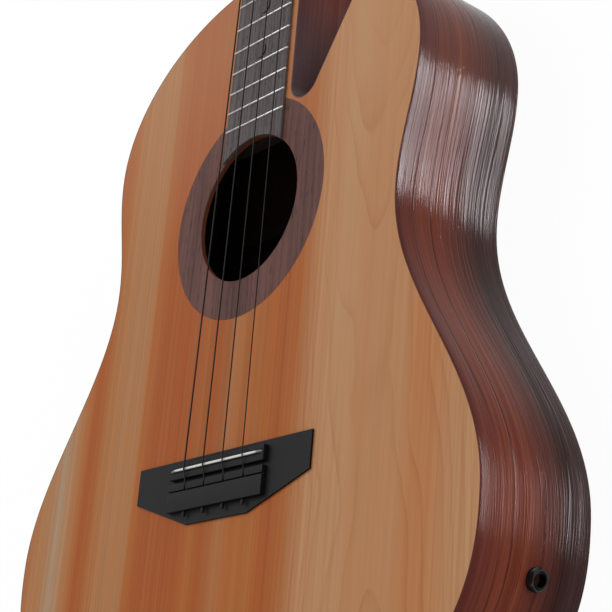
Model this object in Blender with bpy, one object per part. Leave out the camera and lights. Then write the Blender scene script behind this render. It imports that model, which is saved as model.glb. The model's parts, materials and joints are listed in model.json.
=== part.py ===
"""Acoustic bass guitar lying on its back. Metres, +Z out of the soundboard, +Y towards the head.
+X is the treble side, and the origin is on the back's outer face, below the sound hole's centre."""

import math

import bmesh
import bpy
import numpy as np
from mathutils import Matrix, Vector

for old in list(bpy.data.objects):
    bpy.data.objects.remove(old, do_unlink=True)

GAP = 0.0003  # between pieces that touch
OVERCUT = 0.010  # how far a cutter reaches past what it cuts

# Body
BODY_DEPTH = 0.0786
TOP_THICK = 0.003
BACK_THICK = 0.003
RIB_THICK = 0.0025
TAIL_Y = -0.330
LOWER_BOUT_Y = -0.2016
LOWER_BOUT_HALF = 0.2077
LOWER_BOUT_FULLNESS = 2.4  # 2 is an ellipse
WAIST_Y = -0.0246
WAIST_HALF = 0.1339
UPPER_BOUT_Y = 0.0598
UPPER_BOUT_HALF = 0.1463
SHOULDER_Y = 0.164
HEEL_HALF = 0.030  # the outline is straight across the neck joint
CUTAWAY_NECK_X = 0.0327
CUTAWAY_FLOOR_Y = 0.0608
CUTAWAY_RADIUS = 0.0121
HORN_HALF = UPPER_BOUT_HALF - 0.0472

# Inner work
LINING_WIDE = 0.0055
LINING_NARROW = 0.0018
LINING_HEIGHT = 0.008
NECK_BLOCK_LENGTH = 0.045
TAIL_BLOCK_HALF = 0.042
TAIL_BLOCK_LENGTH = 0.022
X_CROSSING_Y = -0.085
X_BRACE_ANGLE = math.radians(48)  # each arm from the centre line
X_BRACE_HEIGHT = 0.014
BRACE_WIDTH = 0.008
BRACE_TIP_HEIGHT = 0.004
BRACE_TAPER = 0.040
TRANSVERSE_BRACE_Y = 0.0517
TRANSVERSE_BRACE_HEIGHT = 0.012
BACK_BRACE_PLACES = {"upper": 0.020, "middle": -0.115, "lower": -0.230}
BACK_BRACE_HEIGHT = 0.012

# Sound hole and rosette
HOLE_RADIUS = 0.0465
ROSETTE_RADIUS = 0.0707
ROSETTE_THICK = 0.0009

# Strings and scale
SCALE_LENGTH = 0.8636
SADDLE_Y = -0.160
SADDLE_COMPENSATION = 0.0025  # the saddle stands this much behind the scale's end
STRING_DIAMETERS = {"e": 0.0010, "a": 0.0009, "d": 0.0008, "g": 0.0007}
SADDLE_SPACING = 0.01828
NUT_SPACING = 0.00936
STRING_OVER_TOP = 0.0070  # at the saddle, to the string's centre
FIRST_FRET_ACTION = 0.0005
BALL_RADIUS = 0.0014
BALL_LENGTH = 0.0034

# Fretboard, nut
BOARD_THICK = 0.0055
BOARD_OVER_TOP = 0.0018
BOARD_HALF_AT_HOLE = 0.0287
BOARD_HALF_AT_NUT = 0.0195
FRET_COUNT = 24
FRET_WIDTH = 0.0015
FRET_HEIGHT = 0.0009
FRET_TANG = 0.0006
FRET_OVERHANG = 0.0004
DOT_RADIUS = 0.005
DOT_RISE = 0.0006
SINGLE_DOT_SPACES = (3, 5, 7, 9, 15, 17, 19, 21)
DOUBLE_DOT_SPACE = 12
DOUBLE_DOT_OFFSET = 0.009
NUT_THICK = 0.0045
NUT_OVER_STRING = 0.0004

# Bridge
BRIDGE_FRONT_Y = -0.1527
BRIDGE_HALF = 0.0809
BRIDGE_END_DEPTH = 0.022
BRIDGE_DEPTH = 0.0396
BRIDGE_TAIL_HALF = 0.0285
BRIDGE_THICK = 0.0011
BLOCK_HALF = 0.0443
BLOCK_RISE = 0.0035
SADDLE_BLOCK_FRONT_Y = -0.1560
SADDLE_BLOCK_DEPTH = 0.0091
ANCHOR_FRONT_Y = -0.1677
ANCHOR_DEPTH = 0.0168
ANCHOR_LIP = 0.0043  # its front bar, slotted for the strings
ANCHOR_GROOVE = 0.0009
ANCHOR_GROOVE_DEPTH = 0.0014
ANCHOR_HOLE_RISE = 0.0022
STRING_BEND = 0.0006  # the strings turn up this far before the anchor's rear bar
SADDLE_THICK = 0.0018
SADDLE_SLOT_FLOOR = 0.0009  # of bridge left under the pickup strip
PICKUP_THICK = 0.0008
PICKUP_END_MARGIN = 0.001
BRIDGE_PLATE_THICK = 0.0025
BRIDGE_PLATE_HALF = 0.058
BRIDGE_PLATE_MARGIN = 0.002

# Neck and head
NECK_DEPTH_AT_NUT = 0.0150
NECK_DEPTH_AT_BODY = 0.0190
HEEL_DEPTH = 0.067
HEEL_SWEEP = 0.060
ROD_CHANNEL_HALF = 0.0034
ROD_CHANNEL_DEPTH = 0.010
ROD_START = 0.014  # from the body
ROD_POCKET = 0.014  # past the nut
ROD_END_SHARE = 0.62  # its threaded end against its bar
SHAFT_INTO_HEAD = 0.006
HEAD_TILT = math.radians(10)
HEAD_THICK = 0.016
HEAD_LENGTH = 0.182
HEAD_HALF = 0.041
HEAD_FLARE = 0.035
HEAD_CROWN = 0.032
HEAD_START_HALF = 0.0208
COVER_LENGTH = 0.040
COVER_THICK = 0.0015
COVER_HALF = 0.011
COVER_TIP_HALF = 0.007
HEEL_ROWS = 9
SHAFT_SIDES = 14

# Tuners, in the head's own frame
POST_X = 0.022
POST_NEAR = 0.052
POST_FAR = 0.118
POST_RADIUS = 0.0046
POST_WAIST = 0.0044
POST_TOP = 0.016
POST_CAP_RADIUS = 0.0056
POST_SLOT = 0.0024
SPIGOT_RADIUS = 0.0026
BUSHING_RADIUS = 0.0062
BUSHING_FLANGE_RADIUS = 0.0084
BUSHING_FLANGE = 0.0015
BUSHING_LENGTH = 0.008
PLATE_THICK = 0.0018
PLATE_HALF = 0.012
PLATE_LONG_END = 0.0165
PLATE_SHORT_END = 0.011
GEAR_TEETH = 20
GEAR_PITCH_RADIUS = 0.0070
GEAR_THICK = 0.0035
TOOTH_HEIGHT = 0.0012
TOOTH_BACKLASH = 0.0003  # on each side of a tooth
WORM_PITCH_RADIUS = 0.0032
WORM_TURNS = 3
WORM_SHAFT_RADIUS = 0.0020
EAR_THICK = 0.0020
EAR_HALF = 0.0040
KEY_REACH = 0.026
KEY_LENGTH = 0.022
KEY_HALF_WIDTH = 0.0095
KEY_THICK = 0.0062

# Windings
WINDING_TURNS = 2
WINDING_PITCH_CLEAR = 0.0006
WINDING_POINTS = 24
WINDING_EXIT = 0.006  # above the head's face

# Output jack and strap button
JACK_Y = -0.2375
JACK_DOWN = 0.0432  # below the top's outer face
JACK_BORE_RADIUS = 0.0034
JACK_THREAD_RADIUS = 0.0041
JACK_FLANGE_RADIUS = 0.0085
JACK_FLANGE_CLEAR = 0.0008  # the rib is hollow behind the flat flange
JACK_FLANGE_DEPTH = 0.010
JACK_REAR_WALL = 0.003
JACK_LENGTH = 0.028
JACK_WASHER_RADIUS = 0.0062
JACK_WASHER_THICK = 0.0010
JACK_NUT_FLATS = 0.0108
JACK_NUT_THICK = 0.0024
JACK_PROUD = 0.0008  # past the nut
BUTTON_RADIUS = 0.0075
BUTTON_LENGTH = 0.011
BUTTON_SHANK = 0.0022
BUTTON_SCREW = 0.016
LEAD_DIAMETER = 0.0024
LEAD_HOLE_X = 0.040
LEAD_STRAIGHT = 0.008  # at both ends
LEAD_DROP = 0.016  # below the top before it turns to the jack
LEAD_APPROACH = 0.030  # in line with the jack
LEAD_SAG = 0.010

# Counts
BOUT_STEPS = 14
WAIST_STEPS = 10
SHOULDER_STEPS = 8
TAIL_BLOCK_STEPS = 8
ROUND_SIDES = 16
HOLE_SIDES = 44

TOP_Z = BODY_DEPTH
TOP_UNDER = BODY_DEPTH - TOP_THICK
RIB_LOW = BACK_THICK + GAP
RIB_HIGH = TOP_UNDER - GAP
BOARD_Z = TOP_Z + BOARD_OVER_TOP
NECK_TOP_Z = BOARD_Z - BOARD_THICK - GAP
NUT_Y = SADDLE_Y + SADDLE_COMPENSATION + SCALE_LENGTH
HEAD_Y = NUT_Y + NUT_THICK
STRING_ORDER = tuple(STRING_DIAMETERS)


def linear(srgb):
    return [((c / 255 + 0.055) / 1.055) ** 2.4 if c > 10 else c / 255 / 12.92 for c in srgb]


def material(name, srgb, roughness, metallic=0.0):
    """One Principled material; the colour is given as 0 to 255."""
    made = bpy.data.materials.new(name)
    made.use_nodes = True
    shader = made.node_tree.nodes["Principled BSDF"]
    shader.inputs["Base Color"].default_value = (*linear(srgb), 1)
    shader.inputs["Roughness"].default_value = roughness
    shader.inputs["Metallic"].default_value = metallic
    made.diffuse_color = (*linear(srgb), 1)
    return made


def finish_mesh(bm, name, smooth_below=32):
    bmesh.ops.recalc_face_normals(bm, faces=bm.faces)
    mesh = bpy.data.meshes.new(name)
    bm.to_mesh(mesh)
    bm.free()
    mesh.shade_smooth()
    mesh.set_sharp_from_angle(angle=math.radians(smooth_below))
    return mesh


def place(name, mesh, look, parent=None):
    made = bpy.data.objects.new(name, mesh)
    bpy.context.scene.collection.objects.link(made)
    if look and not mesh.materials:
        mesh.materials.append(look)
    made.parent = parent
    return made


def loft(name, sections, closed=False):
    """A skin over sections of equal count, with flat ends unless the last joins the first."""
    bm = bmesh.new()
    rings = [[bm.verts.new(point) for point in section] for section in sections]
    pairs = list(zip(rings, rings[1:]))
    if closed:
        pairs.append((rings[-1], rings[0]))
    else:
        bm.faces.new(rings[0])
        bm.faces.new(rings[-1])
    for first, second in pairs:
        for i in range(len(first)):
            j = (i + 1) % len(first)
            bm.faces.new((first[i], first[j], second[j], second[i]))
    return finish_mesh(bm, name)


def prism(name, outline, low, high):
    """An outline of (x, y) carried from one height to the other."""
    return loft(name, [[(x, y, z) for x, y in outline] for z in (low, high)])


def box(name, low, high):
    corners = [(low[0], low[1]), (high[0], low[1]), (high[0], high[1]), (low[0], high[1])]
    return prism(name, corners, low[2], high[2])


def circle(radius, sides, x=0.0, y=0.0):
    turns = [2 * math.pi * i / sides for i in range(sides)]
    return [(x + radius * math.cos(a), y + radius * math.sin(a)) for a in turns]


def turned(name, profile, sides=ROUND_SIDES):
    """Rings of (radius, height) about Z; the first and the last ring are closed by flat faces."""
    return loft(name, [[(x, y, z) for x, y in circle(r, sides)] for r, z in profile])


def turned_ring(name, profile, sides=ROUND_SIDES, outer_shape=None):
    """A closed profile of (radius, height) turned about Z; outer_shape scales the radii over an angle."""
    sections = []
    for i in range(sides):
        angle = 2 * math.pi * i / sides
        stretch = outer_shape(angle) if outer_shape else 1.0
        radii = [r if r < 0 else r * stretch for r, _ in profile]
        sections.append(
            [(abs(r) * math.cos(angle), abs(r) * math.sin(angle), z)
             for r, (_, z) in zip(radii, profile)]
        )
    return loft(name, sections, closed=True)


def shape_with(target, tool, operation="DIFFERENCE"):
    """Cuts or joins with an exact Boolean, and leaves the tool as a hidden guide."""
    change = target.modifiers.new(operation.title(), "BOOLEAN")
    change.operation = operation
    change.solver = "EXACT"
    change.object = tool
    tool.hide_render = True
    tool.display_type = "WIRE"


def settled(guide):
    """The evaluated mesh of a guide, for the copies that share it."""
    graph = bpy.context.evaluated_depsgraph_get()
    mesh = bpy.data.meshes.new_from_object(guide.evaluated_get(graph))
    guide.hide_render = True
    guide.display_type = "WIRE"
    return mesh


def mirrored(mesh):
    other = mesh.copy()
    other.transform(Matrix.Scale(-1, 4, (1, 0, 0)))
    other.flip_normals()
    return other


def tube(name, points, diameter, look, sides_step=1, radii=None):
    """A round cord along points, as a curve with a bevel and filled caps."""
    curve = bpy.data.curves.new(name, "CURVE")
    curve.dimensions = "3D"
    curve.bevel_depth = diameter / 2
    curve.bevel_resolution = sides_step
    curve.use_fill_caps = True
    spline = curve.splines.new("POLY")
    spline.points.add(len(points) - 1)
    for i, (point, place_at) in enumerate(zip(spline.points, points)):
        point.co = (*place_at, 1)
        point.radius = radii[i] if radii else 1.0
    curve.materials.append(look)
    made = bpy.data.objects.new(name, curve)
    bpy.context.scene.collection.objects.link(made)
    return made


def smooth_route(points, step):
    """Points at even steps of about this length along a smooth curve through the given ones."""
    points = np.array(points)
    padded = np.vstack([2 * points[0] - points[1], points, 2 * points[-1] - points[-2]])
    dense = []
    for a, b, c, d in zip(padded, padded[1:], padded[2:], padded[3:]):
        for t in np.linspace(0, 1, 30, endpoint=False):
            dense.append(
                0.5 * (2 * b + (c - a) * t + (2 * a - 5 * b + 4 * c - d) * t**2
                       + (3 * b - a - 3 * c + d) * t**3)
            )
    dense = np.array(dense + [points[-1]])
    along = np.concatenate([[0], np.cumsum(np.linalg.norm(np.diff(dense, axis=0), axis=1))])
    count = max(2, round(along[-1] / step))
    wanted = np.linspace(0, along[-1], count + 1)
    return [tuple(np.interp(s, along, dense[:, k]) for k in range(3)) for s in wanted]


def side_outline(last_half):
    """One side of the body as (half width, y), tail to neck: lower bout, waist, upper bout, shoulder.
    The bouts are quarter ovals, and the stretches on both sides of the waist are half cosine waves."""
    points = []
    power = 2 / LOWER_BOUT_FULLNESS
    for i in range(BOUT_STEPS):
        angle = math.pi / 2 * i / BOUT_STEPS
        y = LOWER_BOUT_Y - (LOWER_BOUT_Y - TAIL_Y) * math.cos(angle) ** power
        points.append((LOWER_BOUT_HALF * math.sin(angle) ** power, y))
    for start, end in (
        ((LOWER_BOUT_HALF, LOWER_BOUT_Y), (WAIST_HALF, WAIST_Y)),
        ((WAIST_HALF, WAIST_Y), (UPPER_BOUT_HALF, UPPER_BOUT_Y)),
    ):
        for i in range(WAIST_STEPS):
            t = i / WAIST_STEPS
            blend = (1 - math.cos(math.pi * t)) / 2
            points.append(
                (start[0] + (end[0] - start[0]) * blend, start[1] + (end[1] - start[1]) * t)
            )
    last_angle = math.acos(last_half / UPPER_BOUT_HALF)
    for i in range(SHOULDER_STEPS + 1):
        angle = last_angle * i / SHOULDER_STEPS
        y = UPPER_BOUT_Y + (SHOULDER_Y - UPPER_BOUT_Y) * math.sin(angle)
        points.append((UPPER_BOUT_HALF * math.cos(angle), y))
    return points


def inward(points, distance):
    """The line moved to its left by the distance, by the normal of each point's neighbours."""
    moved = []
    for i, (x, y) in enumerate(points):
        before = points[max(i - 1, 0)]
        after = points[min(i + 1, len(points) - 1)]
        along = Vector((after[0] - before[0], after[1] - before[1])).normalized()
        if i == 0 and abs(x) < GAP:
            along = Vector((1, 0))
        moved.append((x - along.y * distance, y + along.x * distance))
    return moved


def half_width_at(y):
    """Half the body's width at this place along it."""
    side = side_outline(HEEL_HALF)
    return float(np.interp(y, [p[1] for p in side], [p[0] for p in side]))


def cutaway_outline():
    """From the horn's tip down the straight wall, round the floor and up beside the neck."""
    tip = Vector((HORN_HALF, side_outline(HORN_HALF)[-1][1]))
    centre = Vector((CUTAWAY_NECK_X + CUTAWAY_RADIUS, CUTAWAY_FLOOR_Y + CUTAWAY_RADIUS))
    to_tip = tip - centre
    touch = math.atan2(to_tip.y, to_tip.x) - math.acos(CUTAWAY_RADIUS / to_tip.length)
    last = -math.pi
    steps = 12
    arc = [touch + (last - touch) * i / steps for i in range(steps + 1)]
    points = [tuple(tip)]
    points += [
        (centre.x + CUTAWAY_RADIUS * math.cos(a), centre.y + CUTAWAY_RADIUS * math.sin(a))
        for a in arc
    ]
    points.append((CUTAWAY_NECK_X, NECK_END_Y))
    return points


NECK_END_Y = side_outline(HEEL_HALF)[-1][1]
BASS_SIDE = side_outline(HEEL_HALF)
TREBLE_SIDE = side_outline(HORN_HALF)
CUTAWAY = cutaway_outline()

BODY = bpy.data.objects.new("body_frame", None)
HEAD = bpy.data.objects.new("head_frame", None)
for empty in (BODY, HEAD):
    bpy.context.scene.collection.objects.link(empty)
HEAD.location = (0, HEAD_Y, NECK_TOP_Z)
HEAD.rotation_euler = (-HEAD_TILT, 0, 0)
HEAD_MATRIX = Matrix.Translation(HEAD.location) @ Matrix.Rotation(-HEAD_TILT, 4, "X")


def plate_outline():
    bass = [(-w, y) for w, y in reversed(BASS_SIDE)]
    return TREBLE_SIDE + CUTAWAY[1:] + bass[:-1]


def band(name, outer, inner, low, high):
    """A bent strip between two lines of equal count."""
    sections = [
        [(*o, low), (*o, high), (*i, high), (*i, low)] for o, i in zip(outer, inner)
    ]
    return loft(name, sections)


def bass(points):
    return [(-x, y) for x, y in points]


def centred_start(points):
    """Half the gap is left at the centre line, where the two sides meet."""
    return [(GAP / 2, points[0][1])] + points[1:]


def pulled_back(points, distance):
    """The line with its last point drawn back along its last stretch."""
    last, before = Vector(points[-1]), Vector(points[-2])
    return points[:-1] + [tuple(last + (before - last).normalized() * distance)]


def mitre_point(tip, before, after, distance):
    """Where two lines moved inward by the distance meet, beside the corner that they share."""
    first = (Vector(tip) - Vector(before)).normalized()
    second = (Vector(after) - Vector(tip)).normalized()
    normals = [Vector((-d.y, d.x)) for d in (first, second)]
    total = normals[0] + normals[1]
    return tuple(Vector(tip) + distance * total / (1 + normals[0].dot(normals[1])))


def jack_frame():
    """The jack's axis: out of the treble rib at its place along the body."""
    side = np.array(TREBLE_SIDE[: BOUT_STEPS + 1])
    x = float(np.interp(JACK_Y, side[:, 1], side[:, 0]))
    near = int(np.argmin(abs(side[:, 1] - JACK_Y)))
    along = Vector(side[near + 1] - side[near - 1]).normalized()
    out = Vector((along.y, -along.x, 0))
    across = Vector((along.x, along.y, 0))
    frame = Matrix((across, out.cross(across), out)).transposed().to_4x4()
    return Matrix.Translation((x, JACK_Y, TOP_Z - JACK_DOWN)) @ frame


def body_shell():
    spruce = material("soundboard_wood", (176, 118, 76), 0.45)
    rosewood = material("rib_rosewood", (92, 48, 38), 0.38)
    outline = plate_outline()
    top = place("soundboard", prism("soundboard", outline, TOP_UNDER, TOP_Z), spruce, BODY)
    hole = prism("hole_cutter", circle(HOLE_RADIUS, HOLE_SIDES), TOP_UNDER - OVERCUT, TOP_Z + OVERCUT)
    recess = prism(
        "recess_cutter", circle(ROSETTE_RADIUS, HOLE_SIDES),
        TOP_Z - ROSETTE_THICK - GAP, TOP_Z + OVERCUT,
    )
    shape_with(top, place("hole_cutter", hole, None, BODY))
    shape_with(top, place("recess_cutter", recess, None, BODY))
    lead = prism(
        "lead_hole_cutter", circle(LEAD_DIAMETER / 2 + GAP, ROUND_SIDES, LEAD_HOLE_X, SADDLE_Y),
        TOP_UNDER - OVERCUT, TOP_Z + BRIDGE_THICK + GAP,
    )
    lead_hole = place("lead_hole_cutter", lead, None, BODY)
    shape_with(top, lead_hole)
    place("back_plate", prism("back_plate", outline, 0, BACK_THICK),
          material("back_rosewood", (78, 38, 30), 0.38), BODY)

    outer = centred_start(BASS_SIDE)
    inner = centred_start(inward(BASS_SIDE, RIB_THICK))
    bass_rib = place(
        "bass_side_rib", band("bass_side_rib", bass(outer), bass(inner), RIB_LOW, RIB_HIGH),
        rosewood, BODY,
    )
    corner = mitre_point(TREBLE_SIDE[-1], TREBLE_SIDE[-2], CUTAWAY[1], RIB_THICK)
    inner = inward(TREBLE_SIDE, RIB_THICK)[:-1] + [corner]
    treble_rib = place(
        "treble_side_rib",
        band("treble_side_rib", pulled_back(centred_start(TREBLE_SIDE), GAP),
             pulled_back(centred_start(inner), GAP), RIB_LOW, RIB_HIGH),
        rosewood, BODY,
    )
    wall = CUTAWAY[::-1]
    wall_inner = [corner] + inward(CUTAWAY, RIB_THICK)[1:]
    place(
        "cutaway_rib",
        band("cutaway_rib", pulled_back(wall, GAP), pulled_back(wall_inner[::-1], GAP),
             RIB_LOW, RIB_HIGH),
        rosewood, BODY,
    )
    return {"top": top, "bass_rib": bass_rib, "treble_rib": treble_rib, "lead_hole": lead_hole}


def linings_and_blocks(shell):
    cedar = material("lining_cedar", (186, 142, 96), 0.7)
    block_wood = material("block_mahogany", (128, 74, 50), 0.65)
    start = TAIL_BLOCK_HALF + 0.003
    inset = RIB_THICK + GAP

    def lining(name, side, mirror, at_top):
        wide = inward(side, inset + LINING_WIDE)
        narrow = inward(side, inset + LINING_NARROW)
        outer = inward(side, inset)
        sections = []
        for o, w, n in zip(outer, wide, narrow):
            flip = -1 if mirror else 1
            if at_top:
                corners = ((o, RIB_HIGH - LINING_HEIGHT), (o, RIB_HIGH), (w, RIB_HIGH),
                           (n, RIB_HIGH - LINING_HEIGHT))
            else:
                corners = ((o, RIB_LOW + LINING_HEIGHT), (o, RIB_LOW), (w, RIB_LOW),
                           (n, RIB_LOW + LINING_HEIGHT))
            sections.append([(flip * p[0], p[1], z) for p, z in corners])
        place(name, loft(name, sections), cedar, BODY)

    bass_run = [p for p in BASS_SIDE if p[0] > (start if p[1] < WAIST_Y else HEEL_HALF + 0.02)]
    treble_run = [p for p in TREBLE_SIDE if p[0] > (start if p[1] < WAIST_Y else HORN_HALF + 0.015)]
    lining("bass_top_lining", bass_run, True, True)
    lining("treble_top_lining", treble_run, False, True)
    lining("bass_back_lining", bass_run, True, False)
    lining("treble_back_lining", treble_run, False, False)

    rib_end = min(x for x, _ in inward(BASS_SIDE, RIB_THICK)[-2:])
    block = box(
        "neck_block", (-(rib_end - GAP), NECK_END_Y - NECK_BLOCK_LENGTH, RIB_LOW),
        (CUTAWAY_NECK_X - RIB_THICK - GAP, NECK_END_Y, RIB_HIGH),
    )
    place("neck_block", block, block_wood, BODY)

    bout = inward(BASS_SIDE[:BOUT_STEPS], inset)
    edge = []
    for i in range(TAIL_BLOCK_STEPS + 1):
        x = TAIL_BLOCK_HALF * (2 * i / TAIL_BLOCK_STEPS - 1)
        edge.append((x, float(np.interp(abs(x), [p[0] for p in bout], [p[1] for p in bout]))))
    front = TAIL_Y + inset + TAIL_BLOCK_LENGTH
    tail_outline = edge + [(edge[-1][0], front), (edge[0][0], front)]
    tail = place("tail_block", prism("tail_block", tail_outline, RIB_LOW, RIB_HIGH), block_wood, BODY)

    hole = turned("button_hole_cutter", [(BUTTON_SHANK + GAP, -OVERCUT),
                                         (BUTTON_SHANK + GAP, BUTTON_SCREW + OVERCUT / 5)])
    cutter = place("button_hole_cutter", hole, None, BODY)
    cutter.location = (0, TAIL_Y, BODY_DEPTH / 2)
    cutter.rotation_euler = (-math.pi / 2, 0, 0)
    for piece in (tail, shell["bass_rib"], shell["treble_rib"]):
        shape_with(piece, cutter)


def brace(name, look, centre, angle, reaches, heights, notch=None):
    """A bar under the top or on the back. It runs along an angle from +Y, reaches so far each way,
    and thins to its tips. heights are those of its glued face and its free face.
    notch is (half length, from, to) as shares of its height, cut at its centre."""
    glued, free = heights
    tip = glued + math.copysign(BRACE_TIP_HEIGHT, free - glued)
    back, ahead = reaches
    rise = free - glued
    if notch is None:
        lower = [(-back, tip), (-back + BRACE_TAPER, free), (ahead - BRACE_TAPER, free), (ahead, tip)]
        upper = [(ahead, glued), (-back, glued)]
    elif notch[1] == 0:
        half, level = notch[0], glued + rise * notch[2]
        lower = [(-back, tip), (-back + BRACE_TAPER, free), (ahead - BRACE_TAPER, free), (ahead, tip)]
        upper = [(ahead, glued), (half, glued), (half, level), (-half, level), (-half, glued),
                 (-back, glued)]
    else:
        half, level = notch[0], glued + rise * notch[1]
        lower = [(-back, tip), (-back + BRACE_TAPER, free), (-half, free), (-half, level),
                 (half, level), (half, free), (ahead - BRACE_TAPER, free), (ahead, tip)]
        upper = [(ahead, glued), (-back, glued)]
    along = Vector((math.sin(angle), math.cos(angle)))
    across = Vector((along.y, -along.x))
    sections = []
    for side in (-BRACE_WIDTH / 2, BRACE_WIDTH / 2):
        sections.append([
            (centre[0] + along.x * s + across.x * side, centre[1] + along.y * s + across.y * side, z)
            for s, z in lower + upper
        ])
    return place(name, loft(name, sections), look, BODY)


def reach_to_lining(start_y, angle):
    """How far a bar can run from the centre line before it meets the linings."""
    inset = RIB_THICK + GAP + LINING_WIDE + GAP + BRACE_WIDTH / 2
    reach = 0.0
    while reach * abs(math.sin(angle)) < half_width_at(start_y + reach * math.cos(angle)) - inset:
        reach += 0.001
    return reach


def reach_across(y):
    """Half the length of a bar square to the centre line that ends clear of the linings."""
    narrow = min(half_width_at(y - BRACE_WIDTH / 2), half_width_at(y + BRACE_WIDTH / 2))
    steepest = 1.2  # the sides lean across the bar, which lengthens the linings' share of it
    return narrow - steepest * (RIB_THICK + LINING_WIDE + 3 * GAP)


def bracing(shell):
    look = material("brace_spruce", (205, 172, 126), 0.7)
    glued = TOP_UNDER - GAP
    up = reach_to_lining(X_CROSSING_Y, X_BRACE_ANGLE)
    down = reach_to_lining(X_CROSSING_Y, math.pi - X_BRACE_ANGLE)
    crossing = 2 * X_BRACE_ANGLE
    lap = BRACE_WIDTH / 2 * (1 + abs(math.cos(crossing))) / math.sin(crossing) + GAP
    slack = 0.5 * GAP / X_BRACE_HEIGHT
    heights = (glued, glued - X_BRACE_HEIGHT)
    centre = (0, X_CROSSING_Y)
    brace("x_brace_over", look, centre, X_BRACE_ANGLE, (down, up), heights, (lap, 0.5 - slack, 1))
    brace("x_brace_under", look, centre, -X_BRACE_ANGLE, (down, up), heights, (lap, 0, 0.5 + slack))
    across = reach_across(TRANSVERSE_BRACE_Y)
    brace("transverse_brace", look, (0, TRANSVERSE_BRACE_Y), math.pi / 2, (across, across),
          (glued, glued - TRANSVERSE_BRACE_HEIGHT))
    for place_name, y in BACK_BRACE_PLACES.items():
        across = reach_across(y)
        brace(f"back_brace_{place_name}", look, (0, y), math.pi / 2, (across, across),
              (RIB_LOW, RIB_LOW + BACK_BRACE_HEIGHT))
    plate = box(
        "bridge_plate",
        (-BRIDGE_PLATE_HALF, BRIDGE_FRONT_Y - BRIDGE_DEPTH - BRIDGE_PLATE_MARGIN,
         glued - BRIDGE_PLATE_THICK),
        (BRIDGE_PLATE_HALF, BRIDGE_FRONT_Y - BRIDGE_PLATE_MARGIN, glued),
    )
    made = place("bridge_plate", plate, material("plate_maple", (214, 184, 140), 0.6), BODY)
    shape_with(made, shell["lead_hole"])


def rosette():
    """A flat ring let into the top, its face flush with it."""
    low, high = TOP_Z - ROSETTE_THICK, TOP_Z
    outer, inner = ROSETTE_RADIUS - GAP, HOLE_RADIUS
    ring = turned_ring("rosette", [(inner, low), (outer, low), (outer, high), (inner, high)],
                       HOLE_SIDES)
    place("rosette", ring, material("rosette_rosewood", (98, 70, 68), 0.5), BODY)


def bridge(shell):
    black = material("bridge_black", (45, 45, 45), 0.55)
    low = TOP_Z + GAP
    base_z = low + BRIDGE_THICK
    front = BRIDGE_FRONT_Y
    outline = [
        (-BRIDGE_HALF, front), (-BRIDGE_HALF, front - BRIDGE_END_DEPTH),
        (-BRIDGE_TAIL_HALF, front - BRIDGE_DEPTH), (BRIDGE_TAIL_HALF, front - BRIDGE_DEPTH),
        (BRIDGE_HALF, front - BRIDGE_END_DEPTH), (BRIDGE_HALF, front),
    ]
    made = place("bridge", prism("bridge", outline, low, base_z), black, BODY)
    left, right = -BLOCK_HALF, BLOCK_HALF
    sunk = base_z - BRIDGE_THICK / 2
    top = base_z + BLOCK_RISE
    blocks = {
        "saddle_block": (SADDLE_BLOCK_FRONT_Y - SADDLE_BLOCK_DEPTH, SADDLE_BLOCK_FRONT_Y),
        "anchor_block": (ANCHOR_FRONT_Y - ANCHOR_DEPTH, ANCHOR_FRONT_Y),
    }
    for name, (y_low, y_high) in blocks.items():
        block = place(name, box(name, (left, y_low, sunk), (right, y_high, top)), None, BODY)
        shape_with(made, block, "UNION")
    groove_front = ANCHOR_FRONT_Y - ANCHOR_LIP
    groove_rear = groove_front - ANCHOR_GROOVE
    groove = box("anchor_groove_cutter", (left - OVERCUT, groove_rear, top - ANCHOR_GROOVE_DEPTH),
                 (right + OVERCUT, groove_front, top + OVERCUT))
    shape_with(made, place("anchor_groove_cutter", groove, None, BODY))
    slot_low = low + SADDLE_SLOT_FLOOR
    slot_half = SADDLE_THICK / 2 + GAP
    slot = box(
        "saddle_slot_cutter", (left + PICKUP_END_MARGIN, SADDLE_Y - slot_half, slot_low),
        (right - PICKUP_END_MARGIN, SADDLE_Y + slot_half, base_z + OVERCUT),
    )
    shape_with(made, place("saddle_slot_cutter", slot, None, BODY))
    shape_with(made, shell["lead_hole"])
    for i, string in enumerate(STRING_ORDER):
        radius = STRING_DIAMETERS[string] / 2 + GAP
        hole = place(
            f"string_hole_{string}_cutter",
            turned(f"string_hole_{string}", [(radius, -OVERCUT / 5),
                                             (radius, ANCHOR_DEPTH + OVERCUT / 5)], 10),
            None, BODY,
        )
        x, hole_z = string_x(i, ANCHOR_FRONT_Y), base_z + ANCHOR_HOLE_RISE
        hole.location = (x, ANCHOR_FRONT_Y, hole_z)
        hole.rotation_euler = (math.pi / 2, 0, 0)
        shape_with(made, hole)
        half = radius - GAP / 10
        slot = box(f"string_slot_{string}_cutter", (x - half, groove_rear, hole_z),
                   (x + half, ANCHOR_FRONT_Y + OVERCUT / 5, top + OVERCUT))
        shape_with(made, place(f"string_slot_{string}_cutter", slot, None, BODY))

    strip_low = slot_low + GAP
    strip_high = strip_low + PICKUP_THICK
    ends = (left + PICKUP_END_MARGIN + GAP, right - PICKUP_END_MARGIN - GAP)
    strip = box("pickup_strip", (ends[0], SADDLE_Y - SADDLE_THICK / 2, strip_low),
                (ends[1], SADDLE_Y + SADDLE_THICK / 2, strip_high))
    place("pickup_strip", strip, material("pickup_brass", (180, 150, 90), 0.35, 1.0), BODY)
    thickest = max(STRING_DIAMETERS.values()) / 2
    saddle_top = TOP_Z + STRING_OVER_TOP - thickest - GAP
    saddle = place(
        "saddle",
        box("saddle", (ends[0], SADDLE_Y - SADDLE_THICK / 2, strip_high + GAP),
            (ends[1], SADDLE_Y + SADDLE_THICK / 2, saddle_top)),
        material("saddle_bone", (200, 200, 195), 0.35), BODY,
    )
    soften = saddle.modifiers.new("Rounded edges", "BEVEL")
    soften.width = 0.0004
    soften.segments = 1


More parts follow.
